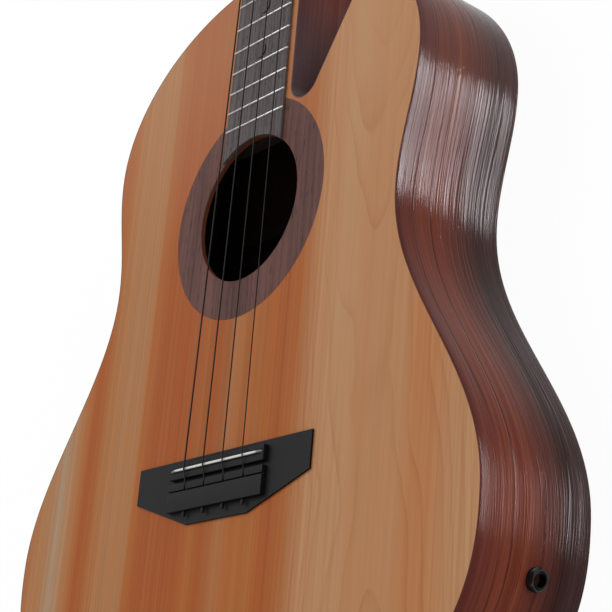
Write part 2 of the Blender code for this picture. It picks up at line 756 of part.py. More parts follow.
def string_x(index, y):
    """Across the body: the strings draw together in a straight line from saddle to nut."""
    share = (y - SADDLE_Y) / SCALE_LENGTH
    spacing = SADDLE_SPACING + (NUT_SPACING - SADDLE_SPACING) * share
    return (index - (len(STRING_ORDER) - 1) / 2) * spacing


def string_nut_z(string):
    return BOARD_Z + FRET_HEIGHT + FIRST_FRET_ACTION + STRING_DIAMETERS[string] / 2


def board_half(y):
    return BOARD_HALF_AT_HOLE + (BOARD_HALF_AT_NUT - BOARD_HALF_AT_HOLE) * y / NUT_Y


def fret_y(number):
    return NUT_Y - SCALE_LENGTH * (1 - 2 ** (-number / 12))


def fretboard():
    """A tapered board whose end follows the sound hole; over the body it is a thin tongue."""
    look = material("fretboard_rosewood", (84, 74, 70), 0.6)
    end = NUT_Y - GAP
    half_at_arc = BOARD_HALF_AT_HOLE
    for _ in range(5):
        half_at_arc = board_half(math.sqrt(HOLE_RADIUS**2 - half_at_arc**2))
    span = math.asin(half_at_arc / HOLE_RADIUS)
    arc_steps = 10
    arc = [span - 2 * span * i / arc_steps for i in range(arc_steps + 1)]
    outline = [(HOLE_RADIUS * math.sin(a), HOLE_RADIUS * math.cos(a)) for a in arc]
    outline += [(-board_half(end), end), (board_half(end), end)]
    board = place("fretboard", prism("fretboard", outline, BOARD_Z - BOARD_THICK, BOARD_Z), look, BODY)
    side = BOARD_HALF_AT_HOLE + OVERCUT
    under = box("tongue_cutter", (-side, 0, BOARD_Z - BOARD_THICK - OVERCUT),
                (side, NECK_END_Y + GAP, TOP_Z + GAP))
    shape_with(board, place("tongue_cutter", under, None, BODY))

    bm = bmesh.new()
    profile = [(-0.5, -FRET_TANG), (-0.36, 0.66), (0, 1), (0.36, 0.66), (0.5, -FRET_TANG)]
    for number in range(1, FRET_COUNT + 1):
        y = fret_y(number)
        half = board_half(y) + FRET_OVERHANG
        ends = []
        for x in (-half, half):
            ends.append([
                bm.verts.new((x, y + FRET_WIDTH * across,
                              BOARD_Z + (rise if rise < 0 else FRET_HEIGHT * rise)))
                for across, rise in profile
            ])
        bm.faces.new(ends[0])
        bm.faces.new(ends[1])
        for i in range(len(profile)):
            j = (i + 1) % len(profile)
            bm.faces.new((ends[0][i], ends[0][j], ends[1][j], ends[1][i]))
    frets = place("fret_wires", finish_mesh(bm, "fret_wires"), None, BODY)
    shape_with(board, frets, "UNION")

    bm = bmesh.new()
    spots = [(0, space) for space in SINGLE_DOT_SPACES]
    spots += [(side * DOUBLE_DOT_OFFSET, DOUBLE_DOT_SPACE) for side in (-1, 1)]
    for x, space in spots:
        y = (fret_y(space) + fret_y(space - 1)) / 2
        rings = [
            [bm.verts.new((px, py, z)) for px, py in circle(DOT_RADIUS, 12, x, y)]
            for z in (BOARD_Z - DOT_RISE, BOARD_Z + DOT_RISE)
        ]
        bm.faces.new(rings[0])
        bm.faces.new(rings[1])
        for i in range(12):
            j = (i + 1) % 12
            bm.faces.new((rings[0][i], rings[0][j], rings[1][j], rings[1][i]))
    shape_with(board, place("marker_dots", finish_mesh(bm, "marker_dots"), None, BODY), "UNION")


def nut():
    """A bar across the neck with one slot for each string."""
    half = board_half(NUT_Y)
    low = NECK_TOP_Z + GAP
    high = max(string_nut_z(s) for s in STRING_ORDER) + NUT_OVER_STRING
    outline = [(-half, low), (-half, high)]
    for i, string in enumerate(STRING_ORDER):
        x = string_x(i, NUT_Y)
        radius = STRING_DIAMETERS[string] / 2 + GAP
        floor = string_nut_z(string) - radius
        outline += [(x - radius, high), (x - radius, floor), (x + radius, floor), (x + radius, high)]
    outline += [(half, high), (half, low)]
    sections = [[(x, y, z) for x, z in outline] for y in (NUT_Y, HEAD_Y - GAP)]
    place("nut", loft("nut", sections), material("nut_bone", (212, 206, 190), 0.35), BODY)


def neck():
    """The shaft and heel are a loft of flat-topped ovals; the head is a plate tilted back."""
    look = material("neck_mahogany", (112, 64, 42), 0.45)
    start = NECK_END_Y + GAP
    rows = []
    for i in range(HEEL_ROWS):
        t = i / (HEEL_ROWS - 1)
        fade = (1 + math.cos(math.pi * t)) / 2
        depth = NECK_DEPTH_AT_BODY + (HEEL_DEPTH - NECK_DEPTH_AT_BODY) * fade**1.4
        rows.append((start + HEEL_SWEEP * t, depth))
    for t in (0.35, 0.7, 1.0):
        y = start + HEEL_SWEEP + (HEAD_Y - start - HEEL_SWEEP) * t
        rows.append((y, NECK_DEPTH_AT_BODY + (NECK_DEPTH_AT_NUT - NECK_DEPTH_AT_BODY) * t))
    sections = []
    for y, depth in rows:
        half = board_half(min(y, NUT_Y))
        ring = []
        for k in range(SHAFT_SIDES + 1):
            angle = math.pi * k / SHAFT_SIDES
            ring.append((half * math.cos(angle), y, NECK_TOP_Z - depth * math.sin(angle) ** 0.85))
        sections.append(ring)
    inside = HEAD_Y + SHAFT_INTO_HEAD
    drop = math.tan(HEAD_TILT) * SHAFT_INTO_HEAD + GAP
    sections.append([
        (x * 0.97, inside, NECK_TOP_Z - drop + (z - NECK_TOP_Z) * 0.8) for x, _, z in sections[-1]
    ])
    shaft = place("neck", loft("neck", sections), look, BODY)
    shape_with(shaft, head_plate(), "UNION")
    channel = box(
        "rod_channel_cutter", (-ROD_CHANNEL_HALF, start + ROD_START, NECK_TOP_Z - ROD_CHANNEL_DEPTH),
        (ROD_CHANNEL_HALF, HEAD_Y + ROD_POCKET, NECK_TOP_Z + OVERCUT),
    )
    shape_with(shaft, place("rod_channel_cutter", channel, None, BODY))
    for string in STRING_ORDER:
        x, along, _ = post_place(string)
        hole = prism("post_hole", circle(BUSHING_RADIUS + GAP, ROUND_SIDES, x, along),
                     -HEAD_THICK - OVERCUT, OVERCUT)
        shape_with(shaft, place(f"post_hole_{string}_cutter", hole, None, HEAD))

    half = ROD_CHANNEL_HALF - GAP
    low, high = NECK_TOP_Z - ROD_CHANNEL_DEPTH + GAP, NECK_TOP_Z - GAP
    middle = (low + high) / 2
    nut_reach = ROD_POCKET * 0.8
    sections = []
    for y, size in ((start + ROD_START + GAP, 1), (NUT_Y, 1),
                    (NUT_Y + NUT_THICK / 2, ROD_END_SHARE), (HEAD_Y + nut_reach, ROD_END_SHARE)):
        tall = (high - low) / 2 * size
        sections.append([
            (-half * size, y, middle - tall), (half * size, y, middle - tall),
            (half * size, y, middle + tall), (-half * size, y, middle + tall),
        ])
    lower = math.tan(HEAD_TILT) * nut_reach
    sections[2:] = [[(x, y, z - lower) for x, y, z in ring] for ring in sections[2:]]
    place("truss_rod", loft("truss_rod", sections), material("rod_steel", (150, 150, 152), 0.4, 1.0),
          BODY)
    cover = [(-COVER_HALF, GAP), (COVER_HALF, GAP), (COVER_HALF * 0.9, COVER_LENGTH * 0.55),
             (COVER_TIP_HALF, COVER_LENGTH * 0.85), (0, COVER_LENGTH),
             (-COVER_TIP_HALF, COVER_LENGTH * 0.85), (-COVER_HALF * 0.9, COVER_LENGTH * 0.55)]
    place("truss_rod_cover", prism("truss_rod_cover", cover, GAP, GAP + COVER_THICK),
          material("cover_black", (32, 32, 33), 0.3), HEAD)


def head_plate():
    """Flares from the nut by half a cosine wave, then closes in a quarter oval."""
    side = []
    for i in range(7):
        t = i / 6
        blend = (1 - math.cos(math.pi * t)) / 2
        side.append((HEAD_START_HALF + (HEAD_HALF - HEAD_START_HALF) * blend, HEAD_FLARE * t))
    crown_from = HEAD_LENGTH - HEAD_CROWN
    for i in range(9):
        angle = math.pi / 2 * i / 8
        side.append((HEAD_HALF * math.cos(angle) ** 0.8, crown_from + HEAD_CROWN * math.sin(angle) ** 0.8))
    side[-1] = (0, HEAD_LENGTH)
    outline = side + [(-x, y) for x, y in side[-2::-1]]
    return place("head_plate", prism("head_plate", outline, -HEAD_THICK, 0), None, HEAD)


def post_place(string):
    """Across, along and hand of a string's tuner: outer strings go to the near posts."""
    index = STRING_ORDER.index(string)
    hand = -1 if index < len(STRING_ORDER) / 2 else 1
    outer = index in (0, len(STRING_ORDER) - 1)
    return hand * POST_X, POST_NEAR if outer else POST_FAR, hand


PLATE_TOP = -HEAD_THICK - GAP
PLATE_LOW = PLATE_TOP - PLATE_THICK
WORM_OUTER = WORM_PITCH_RADIUS + TOOTH_HEIGHT / 2
WORM_ROOT = WORM_PITCH_RADIUS - TOOTH_HEIGHT / 2
WORM_Z = PLATE_LOW - WORM_OUTER - 0.0006
WORM_Y = -(GEAR_PITCH_RADIUS + WORM_PITCH_RADIUS)
WORM_LEAD = 2 * math.pi * GEAR_PITCH_RADIUS / GEAR_TEETH
WORM_HALF = WORM_LEAD * WORM_TURNS / 2 + 0.0012
EAR_X = WORM_HALF + GAP


def gear_mesh():
    """Straight teeth; a tooth space faces the worm at rest."""
    outer = GEAR_PITCH_RADIUS + TOOTH_HEIGHT / 2
    root = GEAR_PITCH_RADIUS - TOOTH_HEIGHT / 2 - TOOTH_BACKLASH / 2
    outer -= TOOTH_BACKLASH / 2
    tooth = math.pi / GEAR_TEETH - 2 * TOOTH_BACKLASH / GEAR_PITCH_RADIUS / 2
    facing = -math.pi / 2 + math.pi / GEAR_TEETH
    outline = []
    for i in range(GEAR_TEETH):
        middle = facing + 2 * math.pi * i / GEAR_TEETH
        for share, radius in ((-0.68, root), (-0.32, outer), (0.32, outer), (0.68, root)):
            angle = middle + share * tooth
            outline.append((radius * math.cos(angle), radius * math.sin(angle)))
    low, high = WORM_Z - GEAR_THICK / 2, WORM_Z + GEAR_THICK / 2
    gear = place("gear_guide", prism("gear_guide", outline, low, high), None)
    bore = place("gear_bore_guide", prism("gear_bore_guide", circle(SPIGOT_RADIUS + GAP, 12),
                                          low - OVERCUT, high + OVERCUT), None)
    shape_with(gear, bore)
    return settled(gear)


def worm_key_mesh():
    """Core and shaft on the key's axis, a helical thread round the core, and a flat key."""
    end = EAR_X + EAR_THICK + 0.0005
    core = [(WORM_SHAFT_RADIUS, -end), (WORM_SHAFT_RADIUS, -WORM_HALF), (WORM_ROOT, -WORM_HALF),
            (WORM_ROOT, WORM_HALF), (WORM_SHAFT_RADIUS, WORM_HALF), (WORM_SHAFT_RADIUS, end),
            (WORM_SHAFT_RADIUS * 1.3, end + 0.0008), (WORM_SHAFT_RADIUS * 1.3, KEY_REACH + 0.003)]
    body = place("worm_guide", turned("worm_guide", core, 10), None)
    steps = 9
    crest = WORM_LEAD / 4 - TOOTH_BACKLASH / 2
    sections = []
    for i in range(steps * WORM_TURNS + 1):
        angle = 2 * math.pi * i / steps - math.pi * WORM_TURNS
        along = WORM_LEAD * angle / (2 * math.pi)
        fade = min(1.0, 1.4 * i / steps, 1.4 * (steps * WORM_TURNS - i) / steps)
        top = WORM_ROOT - 0.0001 + (WORM_OUTER - TOOTH_BACKLASH / 2 - WORM_ROOT) * max(fade, 0.12)
        profile = ((WORM_ROOT - 0.0006, -crest * 1.35), (top, -crest * 0.62), (top, crest * 0.62),
                   (WORM_ROOT - 0.0006, crest * 1.35))
        sections.append([(r * math.cos(angle), r * math.sin(angle), along + s) for r, s in profile])
    thread = place("thread_guide", loft("thread_guide", sections), None)
    shape_with(body, thread, "UNION")
    key = []
    rows = 7
    for i in range(rows):
        t = -1 + 2 * i / (rows - 1)
        swell = max(math.sqrt(max(1 - abs(t) ** 2.6, 0)), 0.22)
        wide, thick = KEY_HALF_WIDTH * swell, KEY_THICK / 2 * swell**0.6
        z = KEY_REACH + KEY_LENGTH * (t + 1) / 2
        key.append([(wide * math.cos(a), thick * math.sin(a), z)
                    for a in np.linspace(0, 2 * math.pi, 10, endpoint=False)])
    paddle = place("paddle_guide", loft("paddle_guide", key), None)
    shape_with(body, paddle, "UNION")
    mesh = settled(body)
    # laid along +X, with the middle of the thread towards the gear
    mesh.transform(Matrix.Rotation(math.pi / 2, 4, "Y") @ Matrix.Rotation(math.pi / 2, 4, "Z"))
    return mesh


def tuner_plate_mesh():
    """The plate screwed to the head's back, with two ears that carry the worm's shaft."""
    outline = []
    corner = 0.003
    x_ends = (-PLATE_HALF, PLATE_HALF)
    y_ends = (-PLATE_LONG_END, PLATE_SHORT_END)
    for cx, cy, first in ((x_ends[1], y_ends[1], 0), (x_ends[0], y_ends[1], 90),
                          (x_ends[0], y_ends[0], 180), (x_ends[1], y_ends[0], 270)):
        px = cx - math.copysign(corner, cx)
        py = cy - math.copysign(corner, cy)
        for step in range(4):
            a = math.radians(first + 30 * step)
            outline.append((px + corner * math.cos(a), py + corner * math.sin(a)))
    plate = place("plate_guide", prism("plate_guide", outline, PLATE_LOW, PLATE_TOP), None)
    for side in (-1, 1):
        near, far = side * EAR_X, side * (EAR_X + EAR_THICK)
        arc = [math.pi + math.pi * i / 8 for i in range(9)]
        profile = [(WORM_Y + EAR_HALF * math.cos(a), WORM_Z + EAR_HALF * math.sin(a)) for a in arc]
        profile += [(WORM_Y + EAR_HALF, PLATE_LOW + 0.001), (WORM_Y - EAR_HALF, PLATE_LOW + 0.001)]
        sections = [[(x, y, z) for y, z in profile] for x in (near, far)]
        ear = place(f"ear_guide_{side}", loft("ear_guide", sections), None)
        shape_with(plate, ear, "UNION")
    reach = EAR_X + OVERCUT
    bore = place("shaft_bore_guide", turned("shaft_bore_guide", [
        (WORM_SHAFT_RADIUS + GAP, -reach), (WORM_SHAFT_RADIUS + GAP, reach)], 12), None)
    bore.location = (0, WORM_Y, WORM_Z)
    bore.rotation_euler = (0, math.pi / 2, 0)
    shape_with(plate, bore)
    hole = place("post_bore_guide", prism("post_bore_guide", circle(POST_RADIUS + GAP, ROUND_SIDES),
                                          PLATE_LOW - GAP, PLATE_TOP + GAP), None)
    shape_with(plate, hole)
    return settled(plate)


def post_mesh(slot_floor):
    """A turned post with a spigot for the gear, and a slot across its top for the string."""
    shoulder = WORM_Z + GEAR_THICK / 2 + GAP
    spigot_end = WORM_Z - GEAR_THICK / 2 - 0.0012
    profile = [
        (SPIGOT_RADIUS, spigot_end), (SPIGOT_RADIUS, shoulder), (POST_RADIUS, shoulder),
        (POST_RADIUS, 0.0028), (POST_RADIUS * 1.12, 0.0031), (POST_RADIUS * 1.12, 0.0038),
        (POST_WAIST, 0.0043), (POST_WAIST, POST_TOP - 0.0035),
        (POST_CAP_RADIUS, POST_TOP - 0.0026), (POST_CAP_RADIUS, POST_TOP - 0.0009),
        (POST_CAP_RADIUS * 0.82, POST_TOP),
    ]
    post = place("post_guide", turned("post_guide", profile), None)
    slot = place("slot_guide", box("slot_guide", (-OVERCUT, -POST_SLOT / 2, slot_floor),
                                   (OVERCUT, POST_SLOT / 2, POST_TOP + OVERCUT)), None)
    shape_with(post, slot)
    return settled(post)


def winding_route(string):
    """The string on its post, in the post's own frame: through the slot, round and down, then off
    towards the nut. Turns run round the post's waist at a steady rate."""
    x, along, hand = post_place(string)
    diameter = STRING_DIAMETERS[string]
    ring = POST_WAIST + GAP + diameter / 2
    index = STRING_ORDER.index(string)
    nut_world = Vector((string_x(index, NUT_Y), HEAD_Y, string_nut_z(string)))
    nut_point = HEAD_MATRIX.inverted() @ nut_world - Vector((x, along, 0))
    bearing = math.atan2(nut_point.y, nut_point.x)
    leave = bearing - hand * math.acos(ring / math.hypot(nut_point.x, nut_point.y))
    bend = diameter
    first = leave - hand * (2 * math.pi * WINDING_TURNS + math.radians(70))
    rise = (diameter + WINDING_PITCH_CLEAR) / (2 * math.pi)
    start_lag = math.atan2(bend, ring)
    top = WINDING_EXIT + rise * (abs(leave - first) - start_lag)
    out = Vector((math.cos(first), math.sin(first), 0))
    side = Vector((-math.sin(first), math.cos(first), 0)) * hand
    points = [out * -0.003 + Vector((0, 0, top)), out * (ring - bend) + Vector((0, 0, top))]
    for turn in (30, 60):
        a = math.radians(turn)
        points.append(out * (ring - bend + bend * math.sin(a)) + side * bend * (1 - math.cos(a))
                      + Vector((0, 0, top)))
    total = abs(leave - first) - start_lag
    steps = round(total / (2 * math.pi) * WINDING_POINTS)
    for i in range(steps + 1):
        turned_by = start_lag + total * i / steps
        a = first + hand * turned_by
        points.append(Vector((ring * math.cos(a), ring * math.sin(a), top - rise * total * i / steps)))
    towards = (nut_point - points[-1]).normalized()
    points.append(points[-1] + towards * diameter * 1.3)
    return points, towards, first, top


def least_self_gap(points, diameter):
    """The least clear distance between stretches of a tube that are not neighbours."""
    dense = np.array(smooth_route([tuple(p) for p in points], diameter / 3))
    along = np.arange(len(dense)) * diameter / 3
    apart = np.linalg.norm(dense[:, None] - dense[None], axis=2)
    far = abs(along[:, None] - along[None]) > 4 * diameter
    return float(apart[far].min() - diameter)


def tuners():
    steel = material("tuner_chrome", (176, 176, 178), 0.22, 1.0)
    plate_look = material("tuner_plate_nickel", (150, 150, 152), 0.3, 1.0)
    brass = material("gear_brass", (178, 140, 78), 0.35, 1.0)
    wound = material("string_bronze", (58, 50, 46), 0.4, 1.0)
    plate, worm, gear = tuner_plate_mesh(), worm_key_mesh(), gear_mesh()
    flange = GAP + BUSHING_FLANGE
    bushing = turned_ring("bushing", [
        (POST_RADIUS + GAP, -BUSHING_LENGTH), (BUSHING_RADIUS, -BUSHING_LENGTH), (BUSHING_RADIUS, GAP),
        (BUSHING_FLANGE_RADIUS, GAP), (BUSHING_FLANGE_RADIUS * 0.95, flange),
        (POST_RADIUS + GAP, flange),
    ])
    for mesh, look in ((plate, plate_look), (worm, steel), (gear, brass), (bushing, steel)):
        mesh.materials.clear()
        mesh.materials.append(look)
    others = {mesh.name: mirrored(mesh) for mesh in (plate, worm, gear)}
    for string in STRING_ORDER:
        x, along, hand = post_place(string)
        diameter = STRING_DIAMETERS[string]
        route, towards, slot_angle, top = winding_route(string)
        seat = bpy.data.objects.new(f"tuner_{string}_seat", None)
        post_axis = bpy.data.objects.new(f"tuner_{string}_post_axis", None)
        key_axis = bpy.data.objects.new(f"tuner_{string}_key_axis", None)
        for made, parent in ((seat, HEAD), (post_axis, seat), (key_axis, seat)):
            bpy.context.scene.collection.objects.link(made)
            made.parent = parent
        seat.location = (x, along, 0)
        key_axis.location = (0, WORM_Y, WORM_Z)

        def own(mesh):
            return mesh if hand > 0 else others[mesh.name]

        place(f"tuner_{string}_plate", own(plate), None, seat)
        place(f"tuner_{string}_bushing", bushing, None, seat)
        place(f"tuner_{string}_key", own(worm), None, key_axis)
        place(f"tuner_{string}_gear", own(gear), None, post_axis)
        slotted = post_mesh(top - diameter / 2 - GAP)
        slotted.materials.clear()
        post = place(f"tuner_{string}_post", slotted, steel, post_axis)
        post.rotation_euler = (0, 0, slot_angle)
        winding = tube(f"string_{string}_winding", route, diameter, wound)
        winding.parent = post_axis
        print(f"string {string}: least gap of its winding to itself "
              f"{1000 * least_self_gap(route, diameter):.2f} mm")

    for index, string in enumerate(STRING_ORDER):
        string_run(index, string, wound)


def string_run(index, string, look):
    """From its ball behind the anchor block, over saddle and nut, to the start of its winding."""
    x, along, _ = post_place(string)
    diameter = STRING_DIAMETERS[string]
    route, towards, _, _ = winding_route(string)
    anchor_z = TOP_Z + GAP + BRIDGE_THICK + ANCHOR_HOLE_RISE
    anchor_x = string_x(index, ANCHOR_FRONT_Y)
    saddle_z = TOP_Z + STRING_OVER_TOP - max(STRING_DIAMETERS.values()) / 2 + diameter / 2
    tail_y = ANCHOR_FRONT_Y - ANCHOR_DEPTH - GAP
    nut_x = string_x(index, NUT_Y)
    nut_z = string_nut_z(string)
    off_post = HEAD_MATRIX @ (Vector((x, along, 0)) + route[-1] + towards * GAP)
    ball = BALL_RADIUS / (diameter / 2)
    stations = [
        ((anchor_x, tail_y - BALL_LENGTH, anchor_z), ball * 0.8),
        ((anchor_x, tail_y - BALL_LENGTH * 0.7, anchor_z), ball),
        ((anchor_x, tail_y - BALL_LENGTH * 0.3, anchor_z), ball),
        ((anchor_x, tail_y, anchor_z), ball * 0.8),
        ((anchor_x, tail_y + 0.0001, anchor_z), 1.0),
        ((anchor_x, ANCHOR_FRONT_Y - ANCHOR_LIP - ANCHOR_GROOVE + STRING_BEND, anchor_z), 1.0),
        ((string_x(index, SADDLE_Y), SADDLE_Y, saddle_z), 1.0),
        ((nut_x, NUT_Y, nut_z), 1.0),
        ((nut_x, HEAD_Y, nut_z), 1.0),
        (tuple(off_post), 1.0),
    ]
    made = tube(f"string_{string}", [s[0] for s in stations], diameter, look,
                radii=[s[1] for s in stations])
    made.parent = BODY


def output_jack(shell):
    black = material("jack_black", (24, 24, 25), 0.35)
    frame = jack_frame()
    hole = place("jack_hole_cutter", turned(
        "jack_hole_cutter", [(JACK_THREAD_RADIUS + GAP, -2 * OVERCUT),
                             (JACK_THREAD_RADIUS + GAP, 2 * OVERCUT)]),
        None)
    hole.matrix_world = frame
    shape_with(shell["treble_rib"], hole)
    washer_top = GAP + JACK_WASHER_THICK
    nut_low = washer_top + GAP
    nut_top = nut_low + JACK_NUT_THICK
    inside = -RIB_THICK - JACK_FLANGE_CLEAR
    back = nut_top - JACK_LENGTH
    barrel = turned("jack_barrel", [
        (JACK_THREAD_RADIUS * 0.85, back), (JACK_THREAD_RADIUS * 0.85, inside - JACK_FLANGE_DEPTH),
        (JACK_FLANGE_RADIUS, inside - JACK_FLANGE_DEPTH), (JACK_FLANGE_RADIUS, inside),
        (JACK_THREAD_RADIUS, inside), (JACK_THREAD_RADIUS, nut_top + JACK_PROUD),
        (JACK_BORE_RADIUS, nut_top + JACK_PROUD), (JACK_BORE_RADIUS, back + JACK_REAR_WALL),
    ])
    ring_hole = JACK_THREAD_RADIUS + GAP
    washer = turned_ring("jack_washer", [
        (ring_hole, GAP), (JACK_WASHER_RADIUS, GAP), (JACK_WASHER_RADIUS, washer_top),
        (ring_hole, washer_top)])

    def hexagon(angle):
        return 1 / math.cos(angle % (math.pi / 3) - math.pi / 6)

    flats = JACK_NUT_FLATS / 2
    hex_nut = turned_ring("jack_nut", [
        (-ring_hole, nut_low), (flats, nut_low), (flats, nut_top), (-ring_hole, nut_top)],
        24, hexagon)
    for name, mesh in (("jack_barrel", barrel), ("jack_washer", washer), ("jack_nut", hex_nut)):
        place(name, mesh, black, BODY).matrix_world = frame

    rear = frame @ Vector((0, 0, back - GAP))
    inwards = frame.to_3x3() @ Vector((0, 0, -1))
    start = Vector((LEAD_HOLE_X, SADDLE_Y, TOP_Z + SADDLE_SLOT_FLOOR))
    low = Vector((LEAD_HOLE_X, SADDLE_Y, TOP_UNDER - LEAD_DROP))
    arrive = rear + inwards * LEAD_APPROACH
    sag = Vector((0, 0, LEAD_SAG))
    route = [
        start, start - Vector((0, 0, LEAD_STRAIGHT)), low, low.lerp(arrive, 0.15) - sag,
        low.lerp(arrive, 0.45) - sag, arrive, rear + inwards * LEAD_STRAIGHT, rear,
    ]
    lead = tube("pickup_lead", smooth_route(route, 3 * LEAD_DIAMETER), LEAD_DIAMETER,
                material("lead_grey", (52, 52, 54), 0.6))
    lead.parent = BODY


def strap_button():
    """Turned about its screw, which goes through the ribs' seam into the tail block."""
    profile = [
        (BUTTON_SHANK * 0.4, BUTTON_SCREW), (BUTTON_SHANK, BUTTON_SCREW - 0.003),
        (BUTTON_SHANK, -GAP), (BUTTON_RADIUS * 0.9, -GAP), (BUTTON_RADIUS * 0.9, -0.0015),
        (BUTTON_RADIUS * 0.55, -0.0035), (BUTTON_RADIUS * 0.55, -0.0065),
        (BUTTON_RADIUS, -0.0085), (BUTTON_RADIUS, -BUTTON_LENGTH + 0.0008),
        (BUTTON_RADIUS * 0.88, -BUTTON_LENGTH),
    ]
    made = place("strap_button", turned("strap_button", profile),
                 material("button_steel", (150, 150, 150), 0.3, 1.0), BODY)
    made.location = (0, TAIL_Y, BODY_DEPTH / 2)
    made.rotation_euler = (-math.pi / 2, 0, 0)


def main():
    shell = body_shell()
    linings_and_blocks(shell)
    bracing(shell)
    rosette()
    bridge(shell)
    fretboard()
    nut()
    neck()
    tuners()
    output_jack(shell)
    strap_button()
    bpy.context.view_layer.update()


main()
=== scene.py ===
import json
import math

import bmesh
import bpy
import numpy as np
from mathutils import Matrix, Vector
from mathutils.geometry import delaunay_2d_cdt

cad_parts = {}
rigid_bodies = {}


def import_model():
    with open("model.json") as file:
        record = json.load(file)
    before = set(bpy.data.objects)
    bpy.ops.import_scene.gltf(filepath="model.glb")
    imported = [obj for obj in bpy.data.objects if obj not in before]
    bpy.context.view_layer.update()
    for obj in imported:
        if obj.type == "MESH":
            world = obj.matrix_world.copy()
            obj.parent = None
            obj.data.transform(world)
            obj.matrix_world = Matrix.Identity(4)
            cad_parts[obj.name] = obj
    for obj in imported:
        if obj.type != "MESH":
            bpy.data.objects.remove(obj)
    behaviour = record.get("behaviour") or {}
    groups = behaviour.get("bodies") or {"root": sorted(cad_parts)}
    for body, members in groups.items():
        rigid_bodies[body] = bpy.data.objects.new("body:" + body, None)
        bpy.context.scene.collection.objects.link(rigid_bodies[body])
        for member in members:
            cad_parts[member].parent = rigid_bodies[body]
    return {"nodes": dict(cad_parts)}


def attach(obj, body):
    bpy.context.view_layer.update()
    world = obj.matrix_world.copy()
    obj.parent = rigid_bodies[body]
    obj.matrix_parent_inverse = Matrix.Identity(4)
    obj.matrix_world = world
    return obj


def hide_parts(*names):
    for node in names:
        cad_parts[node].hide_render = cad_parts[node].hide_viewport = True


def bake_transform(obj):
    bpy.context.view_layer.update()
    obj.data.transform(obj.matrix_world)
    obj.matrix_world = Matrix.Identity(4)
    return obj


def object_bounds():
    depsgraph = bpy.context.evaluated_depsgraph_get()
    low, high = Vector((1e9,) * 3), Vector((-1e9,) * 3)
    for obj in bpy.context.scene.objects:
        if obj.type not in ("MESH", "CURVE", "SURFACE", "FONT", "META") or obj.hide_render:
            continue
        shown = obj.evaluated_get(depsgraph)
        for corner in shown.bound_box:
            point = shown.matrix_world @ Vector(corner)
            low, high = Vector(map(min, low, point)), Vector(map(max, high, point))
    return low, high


for thing in list(bpy.data.objects):
    bpy.data.objects.remove(thing)

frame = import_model()
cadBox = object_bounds()
print("frame loaded:", len(frame["nodes"]), "nodes")

root = "guitar"
gap = 0.0003


# view, light and floor

cameraSettings = dict(
    place=(0.7368, -0.3924, 0.6132),
    right=(0.64296, 0.0791, -0.76187),
    up=(0.21536, 0.93587, 0.27889),
    forward=(-0.73503, 0.34338, -0.58466),
    lens=96.106,
    sensor=36.0,
)


def makeCamera(s):
    data = bpy.data.cameras.new("photoCamera")
    data.lens = s["lens"]
    data.sensor_width = s["sensor"]
    data.clip_start, data.clip_end = 0.01, 50
    camera = bpy.data.objects.new("photoCamera", data)
    bpy.context.scene.collection.objects.link(camera)
    turn = Matrix((s["right"], s["up"], [-v for v in s["forward"]])).transposed()
    camera.matrix_world = Matrix.Translation(s["place"]) @ turn.to_4x4()
    bpy.context.scene.camera = camera


makeCamera(cameraSettings)
bpy.context.scene.view_settings.view_transform = "Standard"


# small tools for shader trees

def srgb(r, g, b):
    c = np.array((r, g, b)) / 255
    return (*np.where(c > 0.04045, ((c + 0.055) / 1.055) ** 2.4, c / 12.92).tolist(), 1.0)


def addNode(tree, kind, inputs=None, **settings):
    node = tree.nodes.new("ShaderNode" + kind)
    for key, value in settings.items():
        setattr(node, key, value)
    for key, value in (inputs or {}).items():
        socket = node.inputs[key]
        if isinstance(value, bpy.types.NodeSocket):
            tree.links.new(value, socket)
        else:
            socket.default_value = value
    return node


def calc(tree, operation, a, b=0.0, c=0.0, clamp=False):
    node = addNode(tree, "Math", {0: a, 1: b, 2: c}, operation=operation, use_clamp=clamp)
    return node.outputs[0]


def split(tree, vector):
    return addNode(tree, "SeparateXYZ", {0: vector}).outputs


def join(tree, x, y, z=0.0):
    return addNode(tree, "CombineXYZ", {0: x, 1: y, 2: z}).outputs[0]


def noise(tree, vector, scale=1.0, detail=2.0, rough=0.5, dims="3D"):
    node = addNode(tree, "TexNoise", {"Vector": vector, "Scale": scale, "Detail": detail,
                                      "Roughness": rough}, noise_dimensions=dims)
    return node.outputs["Fac"]


def spread(tree, value, low, high, toLow=0.0, toHigh=1.0):
    node = addNode(tree, "MapRange", {"Value": value, "From Min": low, "From Max": high,
                                      "To Min": toLow, "To Max": toHigh}, clamp=True)
    return node.outputs[0]


def ramp(tree, value, stops, mode="EASE"):
    node = addNode(tree, "ValToRGB", {"Fac": value})
    band = node.color_ramp
    band.interpolation = mode
    while len(band.elements) < len(stops):
        band.elements.new(0.5)
    for element, (at, colour) in zip(band.elements, stops):
        element.position = at
        element.color = srgb(*colour)
    return node.outputs["Color"]


def mixColour(tree, share, a, b, mode="MIX"):
    node = addNode(tree, "Mix", data_type="RGBA", blend_type=mode)
    for socket, value in ((node.inputs[0], share), (node.inputs[6], a), (node.inputs[7], b)):
        if isinstance(value, bpy.types.NodeSocket):
            tree.links.new(value, socket)
        else:
            socket.default_value = value
    return node.outputs[2]


def newMaterial(name, **fixed):
    # a Principled material; fixed values go on the shader's own sockets
    made = bpy.data.materials.new(name)
    made.use_nodes = True
    tree = made.node_tree
    shader = tree.nodes["Principled BSDF"]
    for key, value in fixed.items():
        shader.inputs[key.replace("_", " ")].default_value = value
    return made, tree, shader


